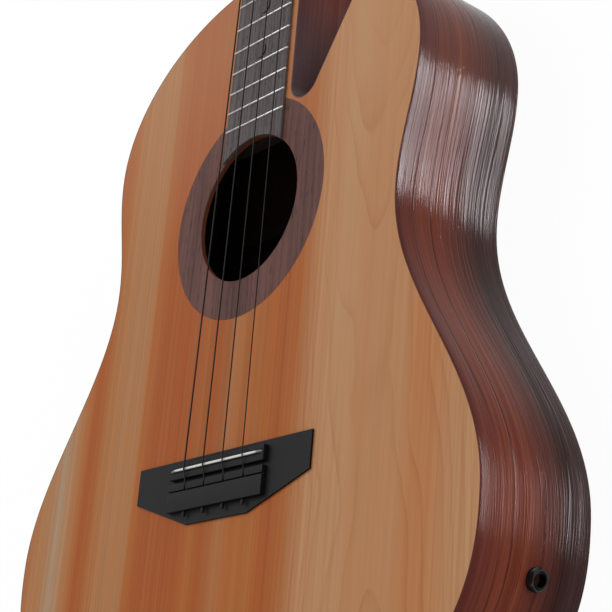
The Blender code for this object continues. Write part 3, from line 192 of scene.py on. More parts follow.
def newGroup(name, inputs, outputs):
    tree = bpy.data.node_groups.new(name, "ShaderNodeTree")
    for label, kind, value in inputs:
        socket = tree.interface.new_socket(label, in_out="INPUT", socket_type="NodeSocket" + kind)
        if value is not None:
            socket.default_value = value
    for label, kind in outputs:
        tree.interface.new_socket(label, in_out="OUTPUT", socket_type="NodeSocket" + kind)
    return tree, tree.nodes.new("NodeGroupInput").outputs, tree.nodes.new("NodeGroupOutput").inputs


def useGroup(tree, group, values):
    node = tree.nodes.new("ShaderNodeGroup")
    node.node_tree = group
    for key, value in values.items():
        if isinstance(value, bpy.types.NodeSocket):
            tree.links.new(value, node.inputs[key])
        else:
            node.inputs[key].default_value = value
    return node.outputs


def objectPlace(tree, across="x", along="y", offset=(0.0, 0.0, 0.0), scale=(1.0, 1.0, 1.0)):
    # object coordinates, centred by a Mapping node and handed over as (across, along, depth)
    coords = addNode(tree, "TexCoord").outputs["Object"]
    moved = addNode(tree, "Mapping", {"Vector": coords, "Location": offset, "Scale": scale}).outputs[0]
    parts = split(tree, moved)
    names = "xyz"
    depth = next(n for n in names if n not in (across, along))
    return join(tree, *(parts[names.index(n)] for n in (across, along, depth)))


def woodGrainGroup():
    # Grain lines, colour bands, fibres and pores of a sawn board.
    # Place is (across, along, depth) in metres. Lines are a sine of the across place, which
    # wanders slowly along the board; fibres and pores are noise stretched along it.
    tree, given, out = newGroup(
        "woodGrain",
        [("Place", "Vector", None), ("Line Spacing", "Float", 0.003), ("Wander", "Float", 0.002),
         ("Wander Length", "Float", 0.15), ("Fibre Width", "Float", 0.0005),
         ("Fibre Length", "Float", 0.03), ("Seed", "Float", 0.0)],
        [("Lines", "Float"), ("Bands", "Float"), ("Fibre", "Float"), ("Pores", "Float"),
         ("Across", "Float")],
    )
    x, y, z = split(tree, given["Place"])
    seed = given["Seed"]

    def stretched(width, length, shift):
        return join(tree, calc(tree, "ADD", calc(tree, "DIVIDE", x, width), calc(tree, "MULTIPLY", seed, shift)),
                    calc(tree, "DIVIDE", y, length),
                    calc(tree, "ADD", calc(tree, "DIVIDE", z, width), seed))

    slow = noise(tree, stretched(0.07, given["Wander Length"], 1.3), detail=1.5)
    shift = calc(tree, "MULTIPLY", calc(tree, "SUBTRACT", slow, 0.5), given["Wander"])
    x = calc(tree, "MULTIPLY_ADD", shift, 2.0, x)
    phase = calc(tree, "DIVIDE", x, given["Line Spacing"])
    uneven = noise(tree, join(tree, calc(tree, "MULTIPLY", phase, 0.31), seed), detail=1.0, dims="2D")
    phase = calc(tree, "MULTIPLY_ADD", uneven, 2.2, phase)
    wave = calc(tree, "SINE", calc(tree, "MULTIPLY", phase, 2 * math.pi))
    lines = calc(tree, "POWER", calc(tree, "MULTIPLY_ADD", wave, 0.5, 0.5), 2.5)
    bands = noise(tree, stretched(calc(tree, "MULTIPLY", given["Line Spacing"], 5.0), 0.9, 2.1), detail=2.0)
    fibre = noise(tree, stretched(given["Fibre Width"], given["Fibre Length"], 3.7), detail=2.5)
    pores = noise(tree, stretched(calc(tree, "MULTIPLY", given["Fibre Width"], 1.4),
                                  calc(tree, "MULTIPLY", given["Fibre Length"], 0.3), 5.1), detail=1.0)
    for label, value in (("Lines", lines), ("Bands", bands), ("Fibre", fibre),
                         ("Pores", spread(tree, pores, 0.62, 0.74)), ("Across", x)):
        tree.links.new(value, out[label])
    return tree


woodGrain = woodGrainGroup()


def bump(tree, shader, height, distance, strength=1.0):
    node = addNode(tree, "Bump", {"Height": height, "Distance": distance, "Strength": strength})
    tree.links.new(node.outputs[0], shader.inputs["Normal"])


# small tools for meshes

def look(piece, material):
    piece.data.materials.clear()
    piece.data.materials.append(material)


def signedVolume(points, faces):
    # sum of the tetrahedra that each face's fan makes with the origin
    total = 0.0
    for size in {len(f) for f in faces}:
        same = points[np.array([f for f in faces if len(f) == size])]
        for k in range(1, size - 1):
            total += np.einsum("ij,ij->i", same[:, 0], np.cross(same[:, k], same[:, k + 1])).sum()
    return total


def newPiece(name, points, faces, material, body=root, nodes=(), slot=None, sharp=40, extra=None):
    # one closed mesh piece, facing outwards, riding on a body and standing for CAD nodes
    points = np.asarray(points, float)
    faces = [list(f) for f in faces]
    if signedVolume(points, faces) < 0:
        faces = [f[::-1] for f in faces]
    mesh = bpy.data.meshes.new(name)
    mesh.from_pydata(points.tolist(), [], faces)
    mesh.shade_smooth()
    mesh.set_sharp_from_angle(angle=math.radians(sharp))
    for label, values in (extra or {}).items():
        layer = mesh.attributes.new(label, "FLOAT_VECTOR", "POINT")
        layer.data.foreach_set("vector", np.asarray(values, float).ravel())
    mesh.validate()
    piece = bpy.data.objects.new(name, mesh)
    bpy.context.scene.collection.objects.link(piece)
    mesh.materials.append(material)
    if body:
        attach(piece, body)
    if nodes:
        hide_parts(*nodes)
    return piece


def gridFaces(rows, cols, closeRows=False, closeCols=False, start=0):
    # quads between neighbours of a (rows, cols) grid of points
    r = np.arange(rows if closeRows else rows - 1)
    c = np.arange(cols if closeCols else cols - 1)
    r, c = (g.ravel() for g in np.meshgrid(r, c, indexing="ij"))
    r2, c2 = (r + 1) % rows, (c + 1) % cols
    quads = np.stack([r * cols + c, r * cols + c2, r2 * cols + c2, r2 * cols + c], axis=1)
    return (quads + start).tolist()


def skin(sections, closed=False):
    # (rows, cols, 3) sections as one closed skin: the last row joins the first, or both get a flat cap
    rows, cols = sections.shape[:2]
    faces = gridFaces(rows, cols, closeRows=closed, closeCols=True)
    if not closed:
        faces += [list(range(cols)), list(range((rows - 1) * cols, rows * cols))]
    return sections.reshape(-1, 3), faces


def turned(profile, sides=48, centre=(0, 0, 0), frameTurn=None):
    # profile of (radius, height) carried round Z; every end has a small flat cap
    profile = np.asarray(profile, float)
    angle = np.linspace(0, 2 * np.pi, sides, endpoint=False)
    sections = np.stack([
        profile[:, :1] * np.cos(angle), profile[:, :1] * np.sin(angle),
        np.repeat(profile[:, 1:], sides, axis=1)], axis=2)
    points, faces = skin(sections)
    if frameTurn is not None:
        points = points @ np.array(frameTurn.to_3x3()).T + np.array(frameTurn.translation)
    return points + np.array(centre), faces


def turnedRing(profile, sides=48, frameTurn=None):
    # a closed profile of (radius, height) carried once round Z
    profile = np.asarray(profile, float)
    angle = np.linspace(0, 2 * np.pi, sides, endpoint=False)[:, None]
    sections = np.stack([profile[:, 0] * np.cos(angle), profile[:, 0] * np.sin(angle),
                         np.repeat(profile[None, :, 1], sides, axis=0)], axis=2)
    points, faces = skin(sections, closed=True)
    if frameTurn is not None:
        points = points @ np.array(frameTurn.to_3x3()).T + np.array(frameTurn.translation)
    return points, faces


def insetLine(line, distance):
    # a closed anticlockwise line moved inwards, each corner mitred
    ahead = np.roll(line, -1, axis=0) - line
    ahead /= np.linalg.norm(ahead, axis=1, keepdims=True)
    normal = np.stack([-ahead[:, 1], ahead[:, 0]], axis=1)
    before = np.roll(normal, 1, axis=0)
    lean = 1 + np.einsum("ij,ij->i", before, normal)
    return line + distance * (before + normal) / lean[:, None]


def insideOf(points, line):
    # even-odd rule for many points against one closed line
    a, b = line, np.roll(line, -1, axis=0)
    x, y = points[:, :1], points[:, 1:]
    crosses = (a[:, 1] > y) != (b[:, 1] > y)
    with np.errstate(divide="ignore", invalid="ignore"):
        at = a[:, 0] + (y - a[:, 1]) * (b[:, 0] - a[:, 0]) / (b[:, 1] - a[:, 1])
    return (crosses & (x < at)).sum(axis=1) % 2 == 1


def flatCap(outer, holes):
    # triangles that fill a closed line round its holes, as indices into the lines joined end to end
    lines = [outer, *holes]
    points = np.vstack(lines)
    starts = np.cumsum([0] + [len(l) for l in lines])
    edges = [(s + i, s + (i + 1) % n) for s, n in zip(starts, [len(l) for l in lines]) for i in range(n)]
    made = delaunay_2d_cdt([Vector(p) for p in points], edges, [], 0, 1e-9)
    verts, triangles = np.array([tuple(v) for v in made[0]]), np.array(made[2])
    origin = np.array([o[0] for o in made[3]])
    middle = verts[triangles].mean(axis=1)
    keep = insideOf(middle, outer)
    for hole in holes:
        keep &= ~insideOf(middle, hole)
    return origin[triangles[keep]]


def plateSolid(outerRows, holeRows):
    # A plate: each outer row is (line, height), top cap first, bottom cap last; each hole likewise.
    # Rows of one edge have equal counts, and flat caps close the first and the last rows.
    points, faces, firsts, lasts = [], [], [], []
    start = 0
    for rows in [outerRows, *holeRows]:
        count = len(rows[0][0])
        block = np.concatenate([
            np.column_stack([line, np.full(count, height)]) for line, height in rows])
        points.append(block)
        faces += gridFaces(len(rows), count, closeCols=True, start=start)
        firsts.append(np.arange(count) + start)
        lasts.append(np.arange(count) + start + (len(rows) - 1) * count)
        start += len(block)
    for pick, ids, flip in ((0, firsts, True), (-1, lasts, False)):
        index = np.concatenate(ids)
        triangles = index[flatCap(outerRows[pick][0], [rows[pick][0] for rows in holeRows])]
        faces += (triangles[:, ::-1] if flip else triangles).tolist()
    return np.vstack(points), faces


def mergedFacing(name, points, faces, *args, **settings):
    # for plates: holes run the other way round, so Blender works the facing out once
    piece = newPiece(name, points, faces, *args, **settings)
    bm = bmesh.new()
    bm.from_mesh(piece.data)
    bmesh.ops.remove_doubles(bm, verts=bm.verts, dist=1e-7)
    bmesh.ops.recalc_face_normals(bm, faces=bm.faces)
    bm.to_mesh(piece.data)
    bm.free()
    return piece


def circleLine(radius, sides, x=0.0, y=0.0):
    a = np.linspace(0, 2 * np.pi, sides, endpoint=False)
    return np.column_stack([x + radius * np.cos(a), y + radius * np.sin(a)])


# the body's outline

bodyShape = dict(
    depth=0.0786, topThick=0.003, backThick=0.003, ribThick=0.0025,
    tailY=-0.330, lowerBoutY=-0.2016, lowerBoutHalf=0.2077, fullness=2.4,
    waistY=-0.0246, waistHalf=0.1339, upperBoutY=0.0598, upperBoutHalf=0.1463,
    shoulderY=0.164, heelHalf=0.030, hornHalf=0.0991,
    cutawayNeckX=0.0327, cutawayFloorY=0.0608, cutawayRadius=0.0121,
    boutSteps=56, waistSteps=34, shoulderSteps=34, floorSteps=28,
)


def sideLine(s, lastHalf):
    # tail to neck: quarter ovals at the bouts, half cosine waves on both sides of the waist
    power = 2 / s["fullness"]
    a = np.linspace(0, np.pi / 2, s["boutSteps"], endpoint=False)
    parts = [np.column_stack([
        s["lowerBoutHalf"] * np.sin(a) ** power,
        s["lowerBoutY"] - (s["lowerBoutY"] - s["tailY"]) * np.cos(a) ** power])]
    for x0, y0, x1, y1 in (
        (s["lowerBoutHalf"], s["lowerBoutY"], s["waistHalf"], s["waistY"]),
        (s["waistHalf"], s["waistY"], s["upperBoutHalf"], s["upperBoutY"]),
    ):
        t = np.linspace(0, 1, s["waistSteps"], endpoint=False)
        parts.append(np.column_stack([x0 + (x1 - x0) * (1 - np.cos(np.pi * t)) / 2, y0 + (y1 - y0) * t]))
    a = np.linspace(0, math.acos(lastHalf / s["upperBoutHalf"]), s["shoulderSteps"] + 1)
    parts.append(np.column_stack([
        s["upperBoutHalf"] * np.cos(a), s["upperBoutY"] + (s["shoulderY"] - s["upperBoutY"]) * np.sin(a)]))
    return np.vstack(parts)


def cutawayLine(s, tip, lastY):
    # horn's tip, straight wall, round floor, and up beside the neck
    centre = np.array((s["cutawayNeckX"] + s["cutawayRadius"], s["cutawayFloorY"] + s["cutawayRadius"]))
    reach = tip - centre
    touch = math.atan2(reach[1], reach[0]) - math.acos(s["cutawayRadius"] / np.hypot(*reach))
    a = np.linspace(touch, -np.pi, s["floorSteps"] + 1)[:, None]
    arc = centre + s["cutawayRadius"] * np.hstack([np.cos(a), np.sin(a)])
    wall = tip + (arc[0] - tip) * np.linspace(0, 1, 14, endpoint=False)[:, None]
    side = arc[-1] + (np.array((s["cutawayNeckX"], lastY)) - arc[-1]) * np.linspace(0, 1, 15)[1:, None]
    return np.vstack([wall, arc, side])


bassLine = sideLine(bodyShape, bodyShape["heelHalf"])
trebleLine = sideLine(bodyShape, bodyShape["hornHalf"])
neckEndY = bassLine[-1, 1]
cutLine = cutawayLine(bodyShape, trebleLine[-1], neckEndY)
outline = np.vstack([trebleLine, cutLine[1:], bassLine[::-1] * (-1, 1)])[:-1]
topZ = bodyShape["depth"]


# wood finishes of the body

topWoodSettings = dict(
    tones=dict(pale=(180, 139, 100), tan=(178, 131, 90), sand=(168, 122, 81), honey=(167, 111, 68),
               amber=(165, 101, 51), rust=(159, 88, 41), ash=(166, 143, 118), coral=(178, 123, 79)),
    # the planks' broad bands, in mm from the centre line
    bands=((-204, "honey"), (-188, "sand"), (-173, "ash"), (-161, "sand"), (-151, "amber"), (-144, "rust"),
           (-133, "amber"), (-118, "sand"), (-89, "sand"), (-87.5, "amber"), (-74, "rust"), (-36, "rust"),
           (-24, "amber"), (-14, "rust"), (3, "honey"), (16, "amber"), (34, "amber"), (48, "rust"),
           (59, "amber"), (63, "honey"), (74, "tan"), (98, "pale"), (116, "tan"), (146, "tan"),
           (158, "coral"), (170, "coral"), (184, "tan"), (202, "pale")),
    halfWidth=0.210, bandWander=0.003, lineSpacing=0.0034,
    heartX=0.114, heartLowX=0.136, heartNear=0.016, heartRise=0.033, heartY=-0.145, heartLength=0.30,
    ringSpacing=0.0064, heartLeft=0.052, edgeTone=(96, 50, 30),
    # paintedSheenTone and paintedSheenRise: a paler tone over the upper bout, a painted sheen
    warmShare=0.75, warmRight=(0.05, 0.075, 1.0, 0.35), paintedSheenTone=(186, 144, 112), paintedSheenRise=(-0.02, 0.12, 0.0, 0.28),
)


def topWood(s):
    # Streaked softwood of three planks: bands by place across, fine lines along it, and a flat-sawn
    # figure whose rings are circles round a pith that lies deepest at heartY and rises to both ends.
    made, tree, shader = newMaterial("topCedar", Roughness=0.5)
    shader.inputs["Specular IOR Level"].default_value = 0.06
    place = objectPlace(tree)
    x, y, z = split(tree, place)
    grain = useGroup(tree, woodGrain, {
        "Place": place, "Line Spacing": s["lineSpacing"], "Wander": 0.003, "Wander Length": 0.35,
        "Fibre Width": 0.00055, "Fibre Length": 0.05, "Seed": 3.0})
    drift = noise(tree, join(tree, calc(tree, "DIVIDE", x, 0.03), calc(tree, "DIVIDE", y, 0.5)),
                  detail=2.0, dims="2D")
    moved = calc(tree, "MULTIPLY_ADD", calc(tree, "SUBTRACT", drift, 0.5), 2 * s["bandWander"], x)
    share = calc(tree, "MULTIPLY_ADD", moved, 0.5 / s["halfWidth"], 0.5)
    stops = [(0.5 + at / 2000 / s["halfWidth"], s["tones"][tone]) for at, tone in s["bands"]]
    colour = ramp(tree, share, stops, "LINEAR")
    streak = noise(tree, join(tree, calc(tree, "DIVIDE", x, 0.0045), calc(tree, "DIVIDE", y, 0.9)),
                   detail=3.0, rough=0.6, dims="2D")
    warm = noise(tree, join(tree, calc(tree, "DIVIDE", moved, 0.011), calc(tree, "DIVIDE", y, 0.55)),
                 detail=2.0, rough=0.6, dims="2D")
    # rings of the flat-sawn plank
    off = calc(tree, "DIVIDE", calc(tree, "SUBTRACT", y, s["heartY"]), s["heartLength"])
    depth = calc(tree, "SUBTRACT", s["heartNear"] + s["heartRise"],
                 calc(tree, "MULTIPLY", calc(tree, "MULTIPLY", off, off), s["heartRise"]))
    centre = spread(tree, y, -0.19, -0.06, s["heartLowX"], s["heartX"])
    side = calc(tree, "SUBTRACT", x, centre)
    sway = noise(tree, join(tree, calc(tree, "DIVIDE", x, 0.05), calc(tree, "DIVIDE", y, 0.11)),
                 detail=1.5, dims="2D")
    radius = calc(tree, "SQRT", calc(tree, "ADD", calc(tree, "MULTIPLY", side, side),
                                     calc(tree, "MULTIPLY", depth, depth)))
    radius = calc(tree, "MULTIPLY_ADD", sway, 0.014, radius)
    uneven = noise(tree, join(tree, calc(tree, "DIVIDE", radius, 0.011), 2.0), detail=1.0, dims="2D")
    turns = calc(tree, "MULTIPLY_ADD", uneven, 1.6, calc(tree, "DIVIDE", radius, s["ringSpacing"]))
    ring = calc(tree, "FRACT", turns)
    late = calc(tree, "MULTIPLY", calc(tree, "POWER", ring, 4.0), spread(tree, ring, 0.93, 1.0, 1.0, 0.0))
    heart = spread(tree, x, s["heartLeft"], s["heartLeft"] + 0.014)
    aside = calc(tree, "ABSOLUTE", side)
    plain = calc(tree, "SUBTRACT", 1.0, calc(tree, "MULTIPLY", heart, spread(tree, aside, 0.026, 0.036, 0.9, 0.3)))
    strength = noise(tree, join(tree, calc(tree, "DIVIDE", x, 0.02), calc(tree, "DIVIDE", y, 0.5), 7.0),
                     detail=1.0)
    lines = calc(tree, "MULTIPLY", calc(tree, "MULTIPLY", grain["Lines"], plain),
                 spread(tree, strength, 0.35, 0.7, 0.05, 0.38))
    fade = spread(tree, noise(tree, join(tree, calc(tree, "DIVIDE", x, 0.03), calc(tree, "DIVIDE", y, 0.12)),
                              detail=1.0, dims="2D"), 0.3, 0.65, 0.25, 1.0)
    rings = calc(tree, "MULTIPLY", calc(tree, "MULTIPLY", late, heart), calc(tree, "MULTIPLY", fade, 0.55))
    fibre = spread(tree, grain["Fibre"], 0.3, 0.7)
    marks = calc(tree, "ADD", calc(tree, "MULTIPLY_ADD", fibre, 0.16, lines), rings, clamp=True)
    darker = mixColour(tree, 1.0, colour, srgb(222, 186, 166), "MULTIPLY")
    paler = mixColour(tree, 1.0, colour, srgb(244, 234, 228), "MULTIPLY")
    orange = mixColour(tree, 1.0, colour, srgb(255, 226, 190), "MULTIPLY")
    warmer = calc(tree, "MULTIPLY", spread(tree, warm, 0.40, 0.66, 0.0, s["warmShare"]),
                  spread(tree, x, *s["warmRight"]))
    colour = mixColour(tree, warmer, colour, orange)
    # the flat-sawn plank's middle has few streaks
    nearHeart = calc(tree, "MULTIPLY", heart, spread(tree, aside, 0.022, 0.034, 0.65, 0.0))
    streaky = calc(tree, "MULTIPLY", spread(tree, streak, 0.35, 0.65), calc(tree, "SUBTRACT", 1.0, nearHeart))
    streaky = calc(tree, "MULTIPLY_ADD", nearHeart, 0.5, streaky)
    colour = mixColour(tree, streaky, colour, paler)
    colour = mixColour(tree, marks, colour, darker)
    # painted sheen: the upper bout is paler, standing in for the polish's reflection that grows towards it
    colour = mixColour(tree, spread(tree, y, *s["paintedSheenRise"]), colour, srgb(*s["paintedSheenTone"]))
    # the sawn edge and the underside are redder and darker than the finished face
    face = spread(tree, z, s["faceZ"] - 0.0002, s["faceZ"] - 0.0001)
    tree.links.new(mixColour(tree, face, srgb(*s["edgeTone"]), colour), shader.inputs["Base Color"])
    bump(tree, shader, calc(tree, "ADD", fibre, grain["Lines"]), 0.00003)
    return made


topWoodSettings["faceZ"] = bodyShape["depth"]

ribWoodSettings = dict(
    tones=dict(slate=(70, 50, 48), umber=(62, 40, 37), cocoa=(88, 49, 41), brown=(108, 56, 44),
               russet=(120, 61, 44), ember=(144, 78, 50), plum=(96, 50, 42),
               grey=(98, 74, 70), inside=(40, 27, 23)),
    # broad bands over the depth, from the back (0) to the top (1)
    bands=((0.0, "slate"), (0.10, "slate"), (0.21, "umber"), (0.33, "cocoa"), (0.45, "brown"),
           (0.565, "russet"), (0.585, "ember"), (0.605, "russet"), (0.74, "russet"), (0.88, "brown"),
           (1.0, "plum")),
    depth=0.0786, drift=0.014,
    # grooves: spacing, sharpness of the crest, seed, heights between which they fade out, share above
    wide=(0.0105, 50.0, 5.0, 0.0, 0.001, 1.0), fine=(0.0024, 4.0, 8.0, 0.040, 0.056, 0.3),
    greyFrom=-0.06, greyTo=0.05, greyShare=0.38, polish=(-0.20, -0.14, 0.028, 0.045),
    dulled=(-0.20, -0.14, 0.23, 0.17),
)


cutawayTones = {**ribWoodSettings["tones"], "grey": (88, 74, 76)}
cutawayWoodSettings = {**ribWoodSettings, "tones": cutawayTones, "greyFrom": 0.16, "greyTo": 0.09, "greyShare": 0.75}


def ribWood(name, s):
    # Rosewood bent along the side; its run attribute holds (length along the side, height, inwards).
    # Bands follow the height, which drifts slowly along the side; grooves are thin crests of a sine of
    # that height, and their spacing and depth wander.
    made, tree, shader = newMaterial(name, Roughness=0.22)
    run = addNode(tree, "Attribute", attribute_name="run").outputs["Vector"]
    along, height, inwards = split(tree, run)

    def streaks(wide, long, seed=0.0, detail=1.0):
        place = join(tree, calc(tree, "DIVIDE", height, wide), calc(tree, "DIVIDE", along, long), seed)
        return noise(tree, place, detail=detail)

    sway = calc(tree, "SUBTRACT", streaks(0.06, 0.22, detail=1.5), 0.5)
    moved = calc(tree, "MULTIPLY_ADD", sway, s["drift"], height)
    colour = ramp(tree, calc(tree, "DIVIDE", moved, s["depth"]), [(at, s["tones"][t]) for at, t in s["bands"]],
                  "EASE")
    broad = spread(tree, streaks(0.005, 0.5, 3.0, 2.0), 0.34, 0.66)
    thin = spread(tree, streaks(0.0011, 0.2, 9.0, 2.5), 0.34, 0.66)
    colour = mixColour(tree, broad, colour, mixColour(tree, 1.0, colour, srgb(220, 208, 208), "MULTIPLY"))
    colour = mixColour(tree, thin, colour, mixColour(tree, 1.0, colour, srgb(228, 212, 210), "MULTIPLY"))

    def grooves(spacing, sharpness, seed, low, high, above):
        wander = noise(tree, join(tree, calc(tree, "DIVIDE", moved, spacing * 1.5),
                                  calc(tree, "DIVIDE", along, 0.6), seed), detail=1.0)
        phase = calc(tree, "MULTIPLY_ADD", wander, 3.4, calc(tree, "DIVIDE", moved, spacing))
        wave = calc(tree, "SINE", calc(tree, "MULTIPLY", phase, 2 * math.pi))
        crest = calc(tree, "POWER", calc(tree, "MULTIPLY_ADD", wave, 0.5, 0.5), sharpness)
        depth = spread(tree, streaks(spacing * 2, 0.16, seed + 1), 0.36, 0.6, 0.15, 1.0)
        return calc(tree, "MULTIPLY", crest, calc(tree, "MULTIPLY", depth, spread(tree, height, low, high, 1.0, above)))

    wide, fine = grooves(*s["wide"]), grooves(*s["fine"])
    cut = calc(tree, "MAXIMUM", wide, calc(tree, "MULTIPLY", fine, 0.35))
    colour = mixColour(tree, cut, colour, mixColour(tree, 1.0, colour, srgb(168, 150, 150), "MULTIPLY"))
    # greyer towards the shoulder: partly the wood's own tone, partly a painted sheen of the polish
    y = split(tree, addNode(tree, "TexCoord").outputs["Object"])[1]
    colour = mixColour(tree, spread(tree, y, s["greyFrom"], s["greyTo"], 0.0, s["greyShare"]), colour,
                       srgb(*s["tones"]["grey"]))
    tree.links.new(spread(tree, y, *s["polish"]), shader.inputs["Specular IOR Level"])
    # painted shade: the inner face, more than 1.5 mm in, takes the near-black inside tone, as the body's inside lies in
    # shade
    inner = spread(tree, inwards, 0.0015, 0.0016)
    tree.links.new(mixColour(tree, inner, colour, srgb(*s["tones"]["inside"])), shader.inputs["Base Color"])
    dulled = spread(tree, y, *s["dulled"])
    tree.links.new(calc(tree, "MULTIPLY_ADD", thin, 0.06, dulled), shader.inputs["Roughness"])
    rise = calc(tree, "SUBTRACT", calc(tree, "MULTIPLY", thin, 0.3), calc(tree, "ADD", fine, wide))
    bump(tree, shader, rise, 0.00019)
    return made


def boardLikeWood(name, base, dark, across="x", along="y", spacing=0.003, rough=0.5, level=0.5,
                  seed=1.0, fibreWidth=0.0006, fibreLength=0.04, rise=0.00004, bandShare=0.5,
                  specular=0.5, wander=0.002, innerFrom=None, innerShadeTone=None):
    # a plain sawn wood between two tones, with its lines, fibres and pores; above innerFrom a painted shade darkens it
    made, tree, shader = newMaterial(name, Roughness=rough)
    shader.inputs["Specular IOR Level"].default_value = specular
    place = objectPlace(tree, across, along)
    grain = useGroup(tree, woodGrain, {
        "Place": place, "Line Spacing": spacing, "Wander": wander, "Wander Length": 0.2,
        "Fibre Width": fibreWidth, "Fibre Length": fibreLength, "Seed": seed})
    share = calc(tree, "MULTIPLY", spread(tree, grain["Bands"], 0.3, 0.7), bandShare)
    share = calc(tree, "MULTIPLY_ADD", grain["Lines"], level * 0.4, share)
    share = calc(tree, "MULTIPLY_ADD", spread(tree, grain["Fibre"], 0.3, 0.7), level * 0.5, share)
    share = calc(tree, "MULTIPLY_ADD", grain["Pores"], 0.5, share, clamp=True)
    colour = mixColour(tree, share, srgb(*base), srgb(*dark))
    # painted shade: above innerFrom the wood takes a dark tone
    if innerShadeTone:
        inner = spread(tree, split(tree, place)[2], innerFrom, innerFrom + 0.0001)
        colour = mixColour(tree, inner, colour, srgb(*innerShadeTone))
    tree.links.new(colour, shader.inputs["Base Color"])
    height = calc(tree, "SUBTRACT", spread(tree, grain["Fibre"], 0.3, 0.7), grain["Pores"])
    bump(tree, shader, height, rise)
    return made


looks = dict(
    top=topWood(topWoodSettings),
    rib=ribWood("ribRosewood", ribWoodSettings),
    cutaway=ribWood("cutawayRosewood", cutawayWoodSettings),
    # the back's inner face gets a painted shade: the dark inside of the body
    back=boardLikeWood("backRosewood", (122, 70, 54), (62, 38, 34), spacing=0.009, rough=0.36,
                       seed=5.0, fibreWidth=0.001, fibreLength=0.09, wander=0.006, bandShare=0.8,
                       specular=0.1, innerFrom=0.0025, innerShadeTone=(40, 27, 23)),
    rosette=boardLikeWood("rosetteRosewood", (112, 74, 67), (48, 31, 28), spacing=0.006, rough=0.5,
                          seed=8.0, fibreWidth=0.0011, fibreLength=0.035, specular=0.06, wander=0.006),
    board=boardLikeWood("boardRosewood", (97, 87, 85), (23, 16, 16), spacing=0.0035, rough=0.55,
                        seed=13.0, fibreWidth=0.0009, fibreLength=0.02, specular=0.12, bandShare=0.35,
                        level=0.7),
    # inside the body: braces, linings, blocks and the bridge plate are near-black, a painted shade of the dark inside
    brace=boardLikeWood("bracePaintedShade", (32, 23, 18), (22, 16, 13), spacing=0.0016, rough=0.7,
                        seed=2.0, specular=0.1),
    lining=boardLikeWood("liningPaintedShade", (46, 33, 26), (31, 22, 18), spacing=0.002, rough=0.75,
                         seed=4.0, specular=0.1),
    block=boardLikeWood("blockPaintedShade", (27, 19, 16), (19, 13, 11), across="x", along="z",
                        spacing=0.004, rough=0.65, seed=6.0, specular=0.1),
    neck=boardLikeWood("neckMahogany", (122, 70, 46), (78, 40, 28), spacing=0.005, rough=0.36,
                       seed=7.0, fibreWidth=0.0007, fibreLength=0.05),
    innerPlate=boardLikeWood("innerPlatePaintedShade", (52, 38, 29), (36, 26, 21), across="y", along="x",
                             spacing=0.003, rough=0.7, seed=9.0, specular=0.1),
)
print("woods made")


def bridgeLook():
    # matt dyed wood, charcoal on its top faces; its walls get a painted shade, near black
    made, tree, shader = newMaterial("bridgeEbonised", Roughness=0.6)
    shader.inputs["Specular IOR Level"].default_value = 0.06
    place = objectPlace(tree, "y", "x")
    grain = useGroup(tree, woodGrain, {
        "Place": place, "Line Spacing": 0.002, "Wander": 0.001, "Wander Length": 0.1,
        "Fibre Width": 0.0004, "Fibre Length": 0.012, "Seed": 21.0})
    upward = split(tree, addNode(tree, "TexCoord").outputs["Normal"])[2]
    # painted shade: faces that turn away from upward are darkened to near black
    wall = spread(tree, upward, 0.55, 0.9, 1.0, 0.0)
    fibre = spread(tree, grain["Fibre"], 0.3, 0.7)
    face = mixColour(tree, calc(tree, "MULTIPLY", fibre, 0.5), srgb(33, 33, 34), srgb(27, 27, 28))
    tree.links.new(mixColour(tree, wall, face, srgb(7, 7, 8)), shader.inputs["Base Color"])
    bump(tree, shader, fibre, 0.00003)
    return made


def dotLook():
    # a dark inlay; its wall gets a painted shade, near black
    made, tree, shader = newMaterial("dotInlay", Roughness=0.5)
    shader.inputs["Specular IOR Level"].default_value = 0.1
    coords = addNode(tree, "TexCoord").outputs
    cloud = spread(tree, noise(tree, coords["Object"], scale=700.0, detail=2.0), 0.3, 0.7)
    face = mixColour(tree, cloud, srgb(74, 65, 65), srgb(58, 50, 50))
    # painted shade: the wall, where the normal turns away from upward, is near black
    wall = spread(tree, split(tree, coords["Normal"])[2], 0.6, 0.95, 1.0, 0.0)
    tree.links.new(mixColour(tree, wall, face, srgb(9, 8, 8)), shader.inputs["Base Color"])
    bump(tree, shader, cloud, 0.00001)
    return made


def metalLook(name, colour, rough, scratch=0.12, metallic=1.0, scale=900.0, specular=0.5):
    # metal or hard plastic with fine handling marks in its gloss and a little dulling in its colour
    made, tree, shader = newMaterial(name, Metallic=metallic, Roughness=rough, Specular_IOR_Level=specular)
    coords = addNode(tree, "TexCoord").outputs["Object"]
    fine = noise(tree, coords, scale=scale, detail=3.0)
    broad = noise(tree, coords, scale=scale / 9, detail=2.0)
    dull = calc(tree, "MULTIPLY", spread(tree, broad, 0.35, 0.75), 0.25)
    darker = tuple(int(c * 0.8) for c in colour)
    tree.links.new(mixColour(tree, dull, srgb(*colour), srgb(*darker)), shader.inputs["Base Color"])
    tree.links.new(spread(tree, fine, 0.3, 0.7, rough - scratch / 2, rough + scratch / 2),
                   shader.inputs["Roughness"])
    bump(tree, shader, fine, 0.000004)
    return made


def saddleLook(lowZ, highZ):
    # bone, white on its crown; below it a painted shade darkens it towards its foot
    made, tree, shader = newMaterial("saddleBone", Roughness=0.35)
    coords = addNode(tree, "TexCoord").outputs["Object"]
    cloud = spread(tree, noise(tree, coords, scale=600.0, detail=3.0), 0.3, 0.7)
    bone = mixColour(tree, cloud, srgb(206, 205, 198), srgb(194, 192, 184))
    # painted shade: below lowZ the bone is dark grey, so that only the crown shows white
    crown = spread(tree, split(tree, coords)[2], lowZ, highZ)
    tree.links.new(mixColour(tree, crown, srgb(52, 50, 48), bone), shader.inputs["Base Color"])
    bump(tree, shader, cloud, 0.000004)
    return made


